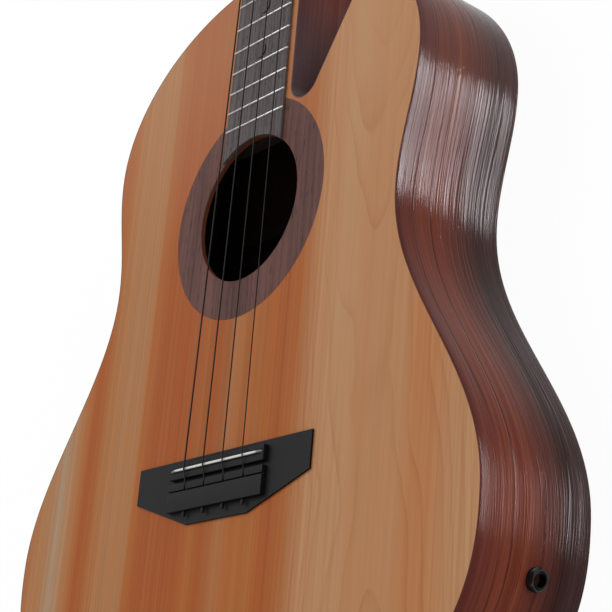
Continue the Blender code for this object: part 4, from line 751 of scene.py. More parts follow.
def stringLook():
    # wound string: its run attribute's x is the length along it, and the wrap is a fine ripple
    made, tree, shader = newMaterial("stringBronze", Roughness=0.45)
    shader.inputs["Specular IOR Level"].default_value = 0.15
    run = addNode(tree, "Attribute", attribute_name="run").outputs["Vector"]
    along = split(tree, run)[0]
    ripple = calc(tree, "SINE", calc(tree, "MULTIPLY", along, 2 * math.pi / 0.00035))
    worn = noise(tree, join(tree, calc(tree, "MULTIPLY", along, 60.0), 0.0), detail=2.0)
    wire = mixColour(tree, spread(tree, worn, 0.3, 0.7), srgb(22, 18, 17), srgb(13, 11, 10))
    # painted shade: the ball end's first millimetres are darker, as it sits in shade at the anchor block's rear wall
    tree.links.new(mixColour(tree, spread(tree, along, 0.0034, 0.0036), srgb(7, 6, 6), wire),
                   shader.inputs["Base Color"])
    bump(tree, shader, ripple, 0.00003)
    return made


looks.update(
    bridge=bridgeLook(),
    boardDot=dotLook(),
    bone=metalLook("saddleBone", (206, 205, 198), 0.35, 0.1, metallic=0.0, scale=600.0),
    fret=metalLook("fretNickel", (158, 155, 153), 0.36, 0.12),
    chrome=metalLook("tunerChrome", (186, 186, 188), 0.2, 0.1),
    nickel=metalLook("tunerNickel", (160, 160, 162), 0.3, 0.12),
    brass=metalLook("gearBrass", (186, 146, 82), 0.33, 0.12),
    steel=metalLook("rodSteel", (150, 150, 152), 0.4, 0.15),
    jack=metalLook("jackBlack", (9, 9, 10), 0.32, 0.1, metallic=0.0, specular=0.07),
    jackNut=metalLook("jackNutBlack", (30, 26, 26), 0.3, 0.1, metallic=0.0, specular=0.22),
    cover=metalLook("coverBlack", (30, 30, 31), 0.28, 0.08, metallic=0.0),
    lead=metalLook("leadGrey", (52, 52, 54), 0.6, 0.1, metallic=0.0, scale=300.0),
    string=stringLook(),
)
print("finishes made")


# soundboard, back and rosette

plateShape = dict(
    bindingWide=0.0009, bindingGap=0.00006, edgeRound=0.0005, holeRadius=0.0465, rosetteRadius=0.0707,
    rosetteThick=0.0009, ringSides=192, support=0.0003,
)


def roundedRows(line, top, bottom, radius, support, steps=4):
    # from the top cap over a rounded edge to the bottom cap; a support row keeps the face flat
    rows = [(insetLine(line, radius + support), top)]
    a = np.linspace(0, np.pi / 2, steps)
    rows += [(insetLine(line, radius * (1 - math.sin(t))), top - radius * (1 - math.cos(t))) for t in a]
    rows += [(line, bottom + 1e-5), (insetLine(line, support), bottom)]
    return rows


def makeTop(s, b):
    inner = insetLine(outline, s["bindingWide"] + s["bindingGap"])
    under = topZ - b["topThick"]
    outerRows = [(insetLine(inner, s["support"]), topZ), (inner, topZ), (inner, under),
                 (insetLine(inner, s["support"]), under)]
    wide = circleLine(s["rosetteRadius"], s["ringSides"])
    widest = circleLine(s["rosetteRadius"] + s["support"], s["ringSides"])
    hole = circleLine(s["holeRadius"], s["ringSides"])
    wider = circleLine(s["holeRadius"] + s["support"], s["ringSides"])
    ledge = topZ - s["rosetteThick"] - gap / 3
    holeRows = [(widest, topZ), (wide, topZ), (wide, ledge), (hole, ledge), (hole, under), (wider, under)]
    points, faces = plateSolid(outerRows, [holeRows])
    mergedFacing("soundboardPlate", points, faces, looks["top"], nodes=("soundboard",), slot="top_wood")
    ring = turnedRing([(s["holeRadius"], topZ - s["rosetteThick"]),
                       (s["rosetteRadius"] - 0.00008, topZ - s["rosetteThick"]),
                       (s["rosetteRadius"] - 0.00008, topZ), (s["holeRadius"] + 0.0003, topZ),
                       (s["holeRadius"], topZ - 0.0002)], s["ringSides"])
    newPiece("rosetteRing", *ring, looks["rosette"], nodes=("rosette",), slot="rosette_wood")
    backLine = insetLine(outline, s["bindingWide"] + s["bindingGap"])
    outerRows = [(insetLine(backLine, s["support"]), b["backThick"]), (backLine, b["backThick"]),
                 (backLine, 0.0), (insetLine(backLine, s["support"]), 0.0)]
    points, faces = plateSolid(outerRows, [])
    mergedFacing("backPlate", points, faces, looks["back"], nodes=("back_plate",), slot="body_wood")


makeTop(plateShape, bodyShape)
print("plates made")


# ribs

def ribBand(name, line, inner, node, finish="rib"):
    # The side's wall with a narrow lip over the edges of both plates, carried along the outline.
    # run holds the length along it, the height and the distance inwards.
    b, s = bodyShape, plateShape
    low, high = b["backThick"] + gap, topZ - b["topThick"] - gap
    lip, thick, r = s["bindingWide"], b["ribThick"], s["edgeRound"]
    a = np.linspace(0, np.pi / 2, 4)
    edge = np.column_stack([r * (1 - np.cos(a)), -r * (1 - np.sin(a))])
    heights = np.linspace(0, topZ, 13)[1:-1]
    profile = np.vstack([
        np.column_stack([edge[::-1, 0], -edge[::-1, 1]]),
        np.column_stack([np.zeros(11), heights]),
        edge + (0, topZ),
        [(lip, topZ), (lip, high), (thick, high), (thick, low), (lip, low), (lip, 0.0)],
    ])
    share = profile[:, 0] / thick
    x = line[:, None, 0] * (1 - share) + inner[:, None, 0] * share
    y = line[:, None, 1] * (1 - share) + inner[:, None, 1] * share
    z = np.repeat(profile[None, :, 1], len(line), axis=0)
    along = np.concatenate([[0], np.cumsum(np.linalg.norm(np.diff(line, axis=0), axis=1))])
    run = np.stack([np.repeat(along[:, None], len(profile), axis=1), z,
                    np.repeat(profile[None, :, 0], len(line), axis=0)], axis=2)
    points, faces = skin(np.stack([x, y, z], axis=2))
    return newPiece(name, points, faces, looks[finish], nodes=(node,), slot="body_wood",
                    extra={"run": run.reshape(-1, 3)})


def makeRibs():
    count = len(trebleLine)
    inset = insetLine(outline, bodyShape["ribThick"])
    tip, cutEnd = count - 1, count - 1 + len(cutLine) - 1
    trebleOuter, trebleInner = outline[:count].copy(), inset[:count].copy()
    cutOuter, cutInner = outline[tip:cutEnd + 1].copy(), inset[tip:cutEnd + 1].copy()
    bassOuter = np.vstack([outline[cutEnd + 1:], outline[:1]])[::-1].copy()
    bassInner = np.vstack([inset[cutEnd + 1:], inset[:1]])[::-1].copy()
    half = gap / 2
    for outer, inner, sign in ((trebleOuter, trebleInner, 1), (bassOuter, bassInner, -1)):
        outer[0], inner[0] = (sign * half, outer[0, 1]), (sign * half, inner[0, 1])
    for outer, inner in ((trebleOuter, trebleInner),):
        for row in (outer, inner):
            last = row[-2] - row[-1]
            row[-1] += last / np.linalg.norm(last) * gap
    cutInner[-1] = (cutOuter[-1, 0] - bodyShape["ribThick"], cutOuter[-1, 1])
    bassInner[-1] = (bassOuter[-1, 0] + 0.0012, bassOuter[-1, 1] - 0.0021)
    ribBand("trebleRib", trebleOuter, trebleInner, "treble_side_rib")
    ribBand("cutawayRib", cutOuter, cutInner, "cutaway_rib", "cutaway")
    ribBand("bassRib", bassOuter, bassInner, "bass_side_rib")


makeRibs()
print("ribs made")


# fretboard, frets and dots

boardShape = dict(
    scale=0.8636, saddleY=-0.160, compensation=0.0025, thick=0.0055, overTop=0.0018,
    halfAtHole=0.0287, halfAtNut=0.0195, frets=24, fretWidth=0.0015, fretHeight=0.0009,
    fretOverhang=0.0004, dots=(3, 5, 7, 9, 15, 17, 19, 21), doubleDot=12, doubleOffset=0.009,
    dotRadius=0.005, dotRise=0.0006,
)
boardZ = topZ + boardShape["overTop"]
nutY = boardShape["saddleY"] + boardShape["compensation"] + boardShape["scale"]
neckTopZ = boardZ - boardShape["thick"] - gap


def boardHalf(y):
    s = boardShape
    return s["halfAtHole"] + (s["halfAtNut"] - s["halfAtHole"]) * y / nutY


def fretY(number):
    return nutY - boardShape["scale"] * (1 - 2 ** (-number / 12))


def makeFretboard(s):
    hole = plateShape["holeRadius"]
    half = s["halfAtHole"]
    for _ in range(5):
        half = boardHalf(math.sqrt(hole**2 - half**2))
    span = math.asin(half / hole)
    a = np.linspace(span, -span, 40)
    end = nutY - gap
    arc = np.column_stack([hole * np.sin(a), hole * np.cos(a)])
    left = np.column_stack([-boardHalf(np.linspace(arc[-1, 1], end, 24)[1:]), np.linspace(arc[-1, 1], end, 24)[1:]])
    right = np.column_stack([boardHalf(np.linspace(end, arc[0, 1], 24)[:-1]), np.linspace(end, arc[0, 1], 24)[:-1]])
    line = np.vstack([arc, left, right])[::-1]
    thin, full = topZ + gap, boardZ - s["thick"]
    rows = roundedRows(line, boardZ, thin, 0.0003, 0.0004, 3)[:-2] + [(line, thin)]
    # the tongue over the body is thin; past the body the board is full depth
    points, faces = plateSolid([*rows[:-1], (line, thin), (insetLine(line, 0.0004), thin)], [])
    mergedFacing("fretboardTop", points, faces, looks["board"], nodes=("fretboard",), slot="board_wood")
    start = neckEndY + gap
    ys = np.linspace(start, end, 30)
    low = np.column_stack([boardHalf(ys), ys])
    lowLine = np.vstack([low, low[::-1] * (-1, 1)])
    points, faces = plateSolid([(insetLine(lowLine, 0.0004), thin - 0.00001), (lowLine, thin - 0.00001),
                                (lowLine, full), (insetLine(lowLine, 0.0004), full)], [])
    mergedFacing("fretboardUnder", points, faces, looks["board"], nodes=("fretboard",), slot="board_wood")

    # frets: a rounded crown carried across the board, its ends bevelled down
    numbers = np.arange(1, s["frets"] + 1)
    crown = np.linspace(0, np.pi, 9)
    section = np.column_stack([-0.5 * np.cos(crown) * s["fretWidth"], np.sin(crown) ** 0.8 * s["fretHeight"]])
    section[0, 1] = section[-1, 1] = -0.0004
    points, faces = [], []
    across = np.array((-1.0, -0.985, -0.96, 0, 0.96, 0.985, 1.0))
    shrink = np.array((0.25, 0.75, 1.0, 1.0, 1.0, 0.75, 0.25))
    for number in numbers:
        half = boardHalf(fretY(number)) + s["fretOverhang"]
        rows = np.stack([
            np.repeat((across * half)[:, None], 9, axis=1),
            fretY(number) + np.repeat(section[None, :, 0], 7, axis=0),
            boardZ + np.where(section[None, :, 1] > 0, section[None, :, 1] * shrink[:, None], section[None, :, 1]),
        ], axis=2)
        block, quads = skin(rows)
        faces += [[v + len(points) * 63 for v in quad] for quad in quads]
        points.append(block)
    newPiece("fretWires", np.vstack(points), faces, looks["fret"], nodes=("fretboard",), slot="board_wood")

    # marker dots: low domed discs
    spots = [(0.0, n) for n in s["dots"]] + [(d * s["doubleOffset"], s["doubleDot"]) for d in (-1, 1)]
    dome = np.array([(1.0, -0.4), (1.0, 0.9), (0.985, 1.0), (0.9, 1.0), (0.05, 1.0)]) * (s["dotRadius"], s["dotRise"])
    points, faces = [], []
    for x, n in spots:
        y = (fretY(n) + fretY(n - 1)) / 2
        block, quads = turned(dome, 32, (x, y, boardZ))
        faces += [[v + sum(len(p) for p in points) for v in quad] for quad in quads]
        points.append(block)
    newPiece("markerDots", np.vstack(points), faces, looks["boardDot"], nodes=("fretboard",), slot="board_wood")


makeFretboard(boardShape)
print("fretboard made")


# bridge and saddle

bridgeShape = dict(
    frontY=-0.1527, half=0.0809, endDepth=0.022, depth=0.0396, tailHalf=0.0285, thick=0.0011,
    blockHalf=0.0443, blockRise=0.0035, saddleBlockFrontY=-0.1560, saddleBlockDepth=0.0091,
    anchorFrontY=-0.1677, anchorDepth=0.0168, lip=0.0043, groove=0.0009, grooveDepth=0.0014,
    holeRise=0.0022, stringBend=0.0006, saddleThick=0.0018, slotFloor=0.0009,
    pickupThick=0.0008, endMargin=0.001, stringOverTop=0.0070, edge=0.00025,
)
stringShape = dict(
    order="eadg", thick=dict(e=0.0010, a=0.0009, d=0.0008, g=0.0007), saddleSpacing=0.01828,
    nutSpacing=0.00936, firstAction=0.0005, ballRadius=0.0014, ballLength=0.0034, sides=12,
    followLength=0.008,
)


def stringX(index, y):
    s = stringShape
    share = (y - boardShape["saddleY"]) / boardShape["scale"]
    return (index - 1.5) * (s["saddleSpacing"] + (s["nutSpacing"] - s["saddleSpacing"]) * share)


def blockPiece(low, high, radius, segments=3):
    # a box whose upper edges are rounded: rows of a rounded rectangle from the foot to the top
    (x0, y0, z0), (x1, y1, z1) = low, high
    a = np.linspace(0, np.pi / 2, segments + 1)
    rows = [(0.0, z0)] + [(radius * (1 - math.cos(t)), z1 - radius * (1 - math.sin(t))) for t in a]
    sections = []
    for inset, z in rows:
        corner = []
        for cx, cy, first in ((x1, y1, 0), (x0, y1, 90), (x0, y0, 180), (x1, y0, 270)):
            sx, sy = math.copysign(1, cx - (x0 + x1) / 2), math.copysign(1, cy - (y0 + y1) / 2)
            px, py = cx - sx * radius, cy - sy * radius
            turn = np.radians(first + np.linspace(0, 90, segments + 1))
            reach = max(radius - inset, 1e-6)
            corner.append(np.column_stack([px + reach * np.cos(turn), py + reach * np.sin(turn)]))
        ring = np.vstack(corner)
        sections.append(np.column_stack([ring, np.full(len(ring), z)]))
    return skin(np.array(sections))


def blockRow(name, blocks, radius):
    # several rounded blocks of the bridge's wood as one piece
    points, faces = [], []
    for low, high in blocks:
        block, quads = blockPiece(low, high, radius)
        faces += [[v + sum(len(p) for p in points) for v in quad] for quad in quads]
        points.append(block)
    newPiece(name, np.vstack(points), faces, looks["bridge"], nodes=("bridge",), slot="bridge_black")


def makeBridge(s):
    low = topZ + gap
    baseZ = low + s["thick"]
    front = s["frontY"]
    line = np.array([
        (-s["half"], front), (-s["half"], front - s["endDepth"]),
        (-s["tailHalf"], front - s["depth"]), (s["tailHalf"], front - s["depth"]),
        (s["half"], front - s["endDepth"]), (s["half"], front)])
    rows = roundedRows(line, baseZ, low, 0.0002, 0.0004, 3)
    points, faces = plateSolid(rows, [])
    mergedFacing("bridgeBase", points, faces, looks["bridge"], nodes=("bridge",), slot="bridge_black")
    left, right = -s["blockHalf"], s["blockHalf"]
    sunk, top, r = baseZ - s["thick"] / 2, baseZ + s["blockRise"], s["edge"]
    # the saddle block is two bars and two ends round the slot
    saddleY = boardShape["saddleY"]
    slot = s["saddleThick"] / 2 + gap
    back, ahead = s["saddleBlockFrontY"] - s["saddleBlockDepth"], s["saddleBlockFrontY"]
    blockRow("saddleBlock", [
        ((left, saddleY + slot, sunk), (right, ahead, top)),
        ((left, back, sunk), (right, saddleY - slot, top)),
        ((left, saddleY - slot - 0.0004, sunk), (left + s["endMargin"], saddleY + slot + 0.0004, top)),
        ((right - s["endMargin"], saddleY - slot - 0.0004, sunk), (right, saddleY + slot + 0.0004, top)),
    ], r)
    # the anchor block: a rear bar, a lower bed under the groove and the slots, and the lip between them
    lipY, rearY = s["anchorFrontY"] - s["lip"], s["anchorFrontY"] - s["lip"] - s["groove"]
    widths = [stringShape["thick"][n] / 2 + gap for n in stringShape["order"]]
    places = [stringX(i, s["anchorFrontY"]) for i in range(4)]
    bed = baseZ + s["holeRise"] - max(widths)
    edges = [left, *(v for at, w in zip(places, widths) for v in (at - w, at + w)), right]
    blocks = [
        ((left, s["anchorFrontY"] - s["anchorDepth"], sunk), (right, rearY, top)),
        ((left, rearY - 0.001, sunk), (right, s["anchorFrontY"], bed)),
        ((left, rearY - 0.001, bed - 0.0005), (right, lipY, top - s["grooveDepth"])),
    ]
    blocks += [((edges[i], lipY - 0.0001, bed - 0.0005), (edges[i + 1], s["anchorFrontY"], top))
               for i in range(0, 10, 2)]
    blockRow("anchorBlock", blocks, r)

    # saddle: a bar with a half-round crown and rounded ends
    ends = (left + s["endMargin"] + gap, right - s["endMargin"] - gap)
    foot = low + s["slotFloor"] + 2 * gap + s["pickupThick"]
    top = topZ + s["stringOverTop"] - max(stringShape["thick"].values()) / 2 - gap
    half = s["saddleThick"] / 2
    a = np.linspace(0, np.pi, 13)
    crown = np.column_stack([np.cos(a) * half, top - half * 0.6 + np.sin(a) * half * 0.6])
    profile = np.vstack([[(half, foot)], crown, [(-half, foot)]])
    t = np.array((0.0, 0.02, 0.06, 0.12, 0.5, 0.88, 0.94, 0.98, 1.0))
    fall = np.array((0.0012, 0.0005, 0.0001, 0, 0, 0, 0.0001, 0.0005, 0.0012))
    rows = np.stack([
        np.repeat((ends[0] + (ends[1] - ends[0]) * t)[:, None], len(profile), axis=1),
        saddleY + np.repeat(profile[None, :, 0], len(t), axis=0),
        np.where(profile[None, :, 1] > foot, profile[None, :, 1] - fall[:, None], profile[None, :, 1]),
    ], axis=2)
    newPiece("saddleBar", *skin(rows), saddleLook(top - 0.00028, top - 0.00008), nodes=("saddle",),
             slot="white_bone")


makeBridge(bridgeShape)
print("bridge made")


# head frame and tuner places

headShape = dict(tilt=math.radians(10), nutThick=0.0045, thick=0.016, postX=0.022, near=0.052, far=0.118)
headY = nutY + headShape["nutThick"]
headFrame = Matrix.Translation((0, headY, neckTopZ)) @ Matrix.Rotation(-headShape["tilt"], 4, "X")


def postPlace(string):
    index = stringShape["order"].index(string)
    hand = -1 if index < 2 else 1
    return hand * headShape["postX"], headShape["near"] if index in (0, 3) else headShape["far"], hand


windingShape = dict(turns=2, pitchClear=0.0006, perTurn=48, exit=0.006, waist=0.0044)


def stringNutZ(string):
    return boardZ + boardShape["fretHeight"] + stringShape["firstAction"] + stringShape["thick"][string] / 2


def windingRoute(string):
    # In the post's own frame: from the slot, bent over its edge, round and down, and off to the nut.
    s = windingShape
    x, along, hand = postPlace(string)
    thick = stringShape["thick"][string]
    ring = s["waist"] + gap + thick / 2
    index = stringShape["order"].index(string)
    nutPoint = headFrame.inverted() @ Vector((stringX(index, nutY), headY, stringNutZ(string)))
    nutPoint -= Vector((x, along, 0))
    bearing = math.atan2(nutPoint.y, nutPoint.x)
    leave = bearing - hand * math.acos(ring / math.hypot(nutPoint.x, nutPoint.y))
    first = leave - hand * (2 * math.pi * s["turns"] + math.radians(70))
    rise = (thick + s["pitchClear"]) / (2 * math.pi)
    lag = math.atan2(thick, ring)
    total = abs(leave - first) - lag
    top = s["exit"] + rise * total
    out = np.array((math.cos(first), math.sin(first)))
    side = np.array((-math.sin(first), math.cos(first))) * hand
    bend = np.radians(np.linspace(0, 80, 6))[:, None]
    start = np.vstack([out * -0.003, out * (ring - thick) + out * thick * np.sin(bend)
                       + side * thick * (1 - np.cos(bend))])
    steps = round(total / (2 * math.pi) * s["perTurn"])
    t = np.linspace(0, 1, steps + 1)
    angle = first + hand * (lag + total * t)
    wound = np.column_stack([ring * np.cos(angle), ring * np.sin(angle), top - rise * total * t])
    points = np.vstack([np.column_stack([start, np.full(len(start), top)]), wound])
    towards = np.array(nutPoint) - points[-1]
    towards /= np.linalg.norm(towards)
    return np.vstack([points, points[-1] + towards * thick * 1.3]), towards


def tubeSkin(points, radii, sides):
    # rings square to the path, each turned as little as possible from the one before
    points = np.asarray(points, float)
    ahead = np.gradient(points, axis=0)
    ahead /= np.linalg.norm(ahead, axis=1, keepdims=True)
    across = np.cross(ahead[0], (0.0, 0.0, 1.0))
    if np.linalg.norm(across) < 1e-3:
        across = np.cross(ahead[0], (1.0, 0.0, 0.0))
    frames = []
    for direction in ahead:
        across = across - direction * across.dot(direction)
        across /= np.linalg.norm(across)
        frames.append((across, np.cross(direction, across)))
    frames = np.array(frames)
    a = np.linspace(0, 2 * np.pi, sides, endpoint=False)
    ring = np.cos(a)[None, :, None] * frames[:, :1] + np.sin(a)[None, :, None] * frames[:, 1:]
    sections = points[:, None] + ring * np.asarray(radii)[:, None, None]
    along = np.concatenate([[0], np.cumsum(np.linalg.norm(np.diff(points, axis=0), axis=1))])
    run = np.zeros(sections.shape)
    run[:, :, 0] = along[:, None]
    run[:, :, 1] = a[None]
    block, faces = skin(sections)
    return block, faces, run.reshape(-1, 3)


def makeStrings(s):
    for index, string in enumerate(s["order"]):
        x, along, hand = postPlace(string)
        thick = s["thick"][string]
        route, towards = windingRoute(string)
        seat = headFrame @ Matrix.Translation((x, along, 0))
        turn, shift = np.array(seat.to_3x3()), np.array(seat.translation)
        block, faces, run = tubeSkin(route, np.full(len(route), thick / 2), s["sides"])
        newPiece(f"string{string.upper()}Winding", block @ turn.T + shift, faces, looks["string"],
                 body=f"tuner_{string}_post_body", nodes=(f"string_{string}_winding",),
                 slot="string_wire", extra={"run": run})
        b = bridgeShape
        anchorZ = topZ + gap + b["thick"] + b["holeRise"]
        anchorX = stringX(index, b["anchorFrontY"])
        tailY = b["anchorFrontY"] - b["anchorDepth"] - gap
        saddleZ = topZ + b["stringOverTop"] - max(s["thick"].values()) / 2 + thick / 2
        nutX, nutZ = stringX(index, nutY), stringNutZ(string)
        offPost = turn @ (route[-1] + towards * gap) + shift
        ball, length = s["ballRadius"], s["ballLength"]
        t = np.linspace(0, 1, 9)
        ends = [(anchorX, tailY - length * (1 - v), anchorZ) for v in t]
        sizes = [ball * (0.45 + 0.40 * math.sin(math.pi * v) ** 0.5) for v in t]
        middle = [(anchorX, tailY + 0.0001, anchorZ),
                  (anchorX, b["anchorFrontY"] - b["lip"] - b["groove"] + b["stringBend"], anchorZ),
                  (stringX(index, boardShape["saddleY"] - 0.001), boardShape["saddleY"] - 0.001, saddleZ - 0.00004),
                  (stringX(index, boardShape["saddleY"]), boardShape["saddleY"], saddleZ),
                  (nutX, nutY, nutZ), (nutX, headY, nutZ)]
        # the last stretch before the post lies on the line the winding leaves by, so that the winding's tail slides
        # along it when the key turns
        toNut = turn @ towards
        middle += [tuple(offPost + toNut * s["followLength"] * v) for v in np.linspace(1.2, 0, 13)]
        sizes += [thick / 2] * len(middle)
        block, faces, run = tubeSkin(np.array(ends + middle), sizes, s["sides"])
        made = newPiece(f"string{string.upper()}", block, faces, looks["string"], body=None,
                        nodes=(f"string_{string}",), slot="string_wire", extra={"run": run})
        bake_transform(made)


makeStrings(stringShape)
print("strings made")


# output jack

jackShape = dict(place=(0.203515, -0.2375, 0.0354), out=(0.961412, -0.275114, 0.0), bore=0.0034,
                 thread=0.0041, washer=0.0062, washerThick=0.0010, flats=0.0108, nutThick=0.0024,
                 proud=0.0008, length=0.028, flange=0.0085)


def makeJack(s):
    out = Vector(s["out"])
    across = Vector((-out.y, out.x, 0))
    up = out.cross(across)
    turn = Matrix.Translation(s["place"]) @ Matrix((across, up, out)).transposed().to_4x4()
    washerTop = gap + s["washerThick"]
    nutLow, nutTop = washerTop + gap / 3, washerTop + gap + s["nutThick"]
    face = nutTop + s["proud"]
    back = nutTop - s["length"]
    inside = -bodyShape["ribThick"] - 0.0008
    r, bore = s["thread"], s["bore"]
    # threads: small ridges on the stretch that carries the nut
    ridges = np.linspace(inside, face - 0.0004, 31)
    thread = [(r - (0.00022 if i % 2 else 0.0), z) for i, z in enumerate(ridges)]
    profile = [(r * 0.85, back), (r * 0.85, inside - 0.010), (s["flange"], inside - 0.010),
               (s["flange"], inside - 0.0002), *thread, (r - 0.0003, face), (bore + 0.0004, face),
               (bore, face - 0.0004), (bore, back + 0.003)]
    newPiece("jackBarrel", *turned(profile, 48, frameTurn=turn), looks["jack"], nodes=("jack_barrel",),
             slot="jack_black")
    ring = turnedRing([(r + 0.0001, gap), (s["washer"], gap), (s["washer"], washerTop - 0.0002),
                       (s["washer"] - 0.0002, washerTop), (r + 0.0001, washerTop)], 64, turn)
    newPiece("jackWasher", *ring, looks["jack"], nodes=("jack_washer",), slot="jack_black")
    # hex nut: the outer radius is that of the flats stretched to the corners, with a turned chamfer;
    # two corners point along the side
    a = np.linspace(0, 2 * np.pi, 96, endpoint=False)
    stretch = 1 / np.cos(a % (np.pi / 3) - np.pi / 6)
    flat = s["flats"] / 2
    chamfer = flat * 1.055
    rows = []
    for radius, z, hexed in ((r + 0.00015, nutLow, 0), (flat, nutLow, 1), (flat, nutTop - 0.0005, 1),
                             (flat, nutTop, 2), (r + 0.0006, nutTop, 0), (r + 0.00015, nutTop - 0.0004, 0)):
        reach = radius * (stretch if hexed else np.ones(96))
        if hexed == 2:
            reach = np.minimum(reach, chamfer)
        rows.append(np.column_stack([reach * np.cos(a), reach * np.sin(a), np.full(96, z)]))
    sections = np.array(rows).transpose(1, 0, 2)
    points, faces = skin(sections, closed=True)
    points = points @ np.array(turn.to_3x3()).T + np.array(turn.translation)
    newPiece("jackNut", points, faces, looks["jackNut"], nodes=("jack_nut",), slot="jack_black", sharp=25)


makeJack(jackShape)
print("jack made")


# neck, head, nut and truss rod cover

neckShape = dict(
    heelDepth=0.067, depthAtBody=0.0190, depthAtNut=0.0150, heelSweep=0.060, heelRows=26, shaftRows=26, sides=40,
    squareFrom=-0.024, into=0.004, startHalf=0.0208, half=0.041, flare=0.035, length=0.182, crown=0.032,
    edge=0.0012, holeRadius=0.0065, nutOver=0.0004, nutBevel=0.0005,
)
coverShape = dict(length=0.040, half=0.011, shoulderHalf=0.0099, shoulder=0.022, thick=0.0015,
                  screws=((0.0, 0.0050), (0.0, 0.0345)), screwRadius=0.0016, screwRise=0.0006)
inHead = (np.array(headFrame.to_3x3()), np.array(headFrame.translation))


def headPlaced(points, shift=(0.0, 0.0, 0.0)):
    return (np.asarray(points, float) + shift) @ inHead[0].T + inHead[1]


def stackShells(shells):
    # several closed shells as the points and faces of one piece
    points, faces, start = [], [], 0
    for block, quads in shells:
        points.append(np.asarray(block, float))
        faces += [[v + start for v in quad] for quad in quads]
        start += len(block)
    return np.vstack(points), faces


def makeNeck(s):
    # The shaft: flat-topped ovals whose depth falls by a cosine from the heel and then evenly to the nut;
    # towards the head the oval's corners fill out until it meets the head's square section.
    start = neckEndY + gap
    t = np.linspace(0, 1, s["heelRows"])
    fade = (1 + np.cos(np.pi * t)) / 2
    heel = np.column_stack([start + s["heelSweep"] * t,
                            s["depthAtBody"] + (s["heelDepth"] - s["depthAtBody"]) * fade**1.4])
    t = np.linspace(0, 1, s["shaftRows"])[1:] ** 0.8
    from_, to = start + s["heelSweep"], headY
    shaft = np.column_stack([from_ + (to - from_) * t,
                             s["depthAtBody"] + (s["depthAtNut"] - s["depthAtBody"]) * t])
    rows = np.vstack([heel, shaft, [(headY + s["into"], s["depthAtNut"])]])
    y, depth = rows[:, :1], rows[:, 1:]
    square = np.clip((y - headY - s["squareFrom"]) / -s["squareFrom"], 0, 1)
    square = square * square * (3 - 2 * square)
    a = np.linspace(0, np.pi, s["sides"] + 1)[None]
    half = boardHalf(np.minimum(y, nutY)) + (s["startHalf"] - 0.0003 - boardHalf(nutY)) * square
    power = 0.85 - 0.50 * square
    x = half * np.sign(np.cos(a)) * np.abs(np.cos(a)) ** (1 - 0.55 * square)
    z = neckTopZ - depth * np.sin(a).clip(0) ** power
    beyond = np.clip(y - headY, 0, None)
    z = np.where(beyond > 0, neckTopZ - 0.0010 + (z - neckTopZ) * 0.93, z)
    sections = np.stack([x, np.broadcast_to(y, x.shape), z], axis=2)
    newPiece("neckShaft", *skin(sections), looks["neck"], nodes=("neck",), slot="neck_wood", sharp=50)

    # the head: sides that flare by half a cosine, closed by a quarter oval, with rounded edges
    t = np.linspace(0, 1, 20)
    side = np.column_stack([s["startHalf"] + (s["half"] - s["startHalf"]) * (1 - np.cos(np.pi * t)) / 2, s["flare"] * t])
    side[0, 1] = -0.0012
    a = np.linspace(0, np.pi / 2, 26)
    crownLine = np.column_stack([s["half"] * np.cos(a) ** 0.8, s["length"] - s["crown"] + s["crown"] * np.sin(a) ** 0.8])
    crownLine[-1] = (0, s["length"])
    half = np.vstack([side, crownLine])
    line = np.vstack([half, half[-2::-1] * (-1, 1)])
    a = np.linspace(0, np.pi / 2, 5)
    r, low = s["edge"], -headShape["thick"]
    inset, fall = r * (1 - np.sin(a)), r * (1 - np.cos(a))
    rows = [(insetLine(line, r + 0.0004), 0.0)] + [(insetLine(line, i), -f) for i, f in zip(inset, fall)]
    rows += [(insetLine(line, i), low + f) for i, f in zip(inset[::-1], fall[::-1])]
    rows += [(insetLine(line, r + 0.0004), low)]
    holes = []
    for string in stringShape["order"]:
        px, py, hand = postPlace(string)
        holes.append([(circleLine(s["holeRadius"], 48, px, py), 0.0), (circleLine(s["holeRadius"], 48, px, py), low)])
    points, faces = plateSolid(rows, holes)
    mergedFacing("headPlate", headPlaced(points), faces, looks["neck"], nodes=("neck",), slot="neck_wood")

    # the nut: a bar with a half-round slot for each string and bevelled long edges
    half, low = boardHalf(nutY), neckTopZ + gap
    high = max(stringNutZ(n) for n in stringShape["order"]) + s["nutOver"]
    line = [np.array([(-half, low), (-half, high)])]
    a = np.linspace(np.pi, 2 * np.pi, 9)
    for i, string in enumerate(stringShape["order"]):
        x, radius, z = stringX(i, nutY), stringShape["thick"][string] / 2 + gap, stringNutZ(string)
        arc = np.column_stack([x + radius * np.cos(a), z + radius * np.sin(a)])
        line.append(np.vstack([[(x - radius, high)], arc, [(x + radius, high)]]))
    line = np.vstack([*line, [(half, high), (half, low)]])[::-1]
    near, far = nutY, headY - gap
    bevel = s["nutBevel"]
    rows = [(insetLine(line, 0.0002), near), (line, near + 0.0002), (line, far - bevel), (insetLine(line, 0.0002), far)]
    points, faces = plateSolid(rows, [])
    mergedFacing("nutBar", points[:, [0, 2, 1]], faces, looks["bone"], nodes=("nut",), slot="white_bone")


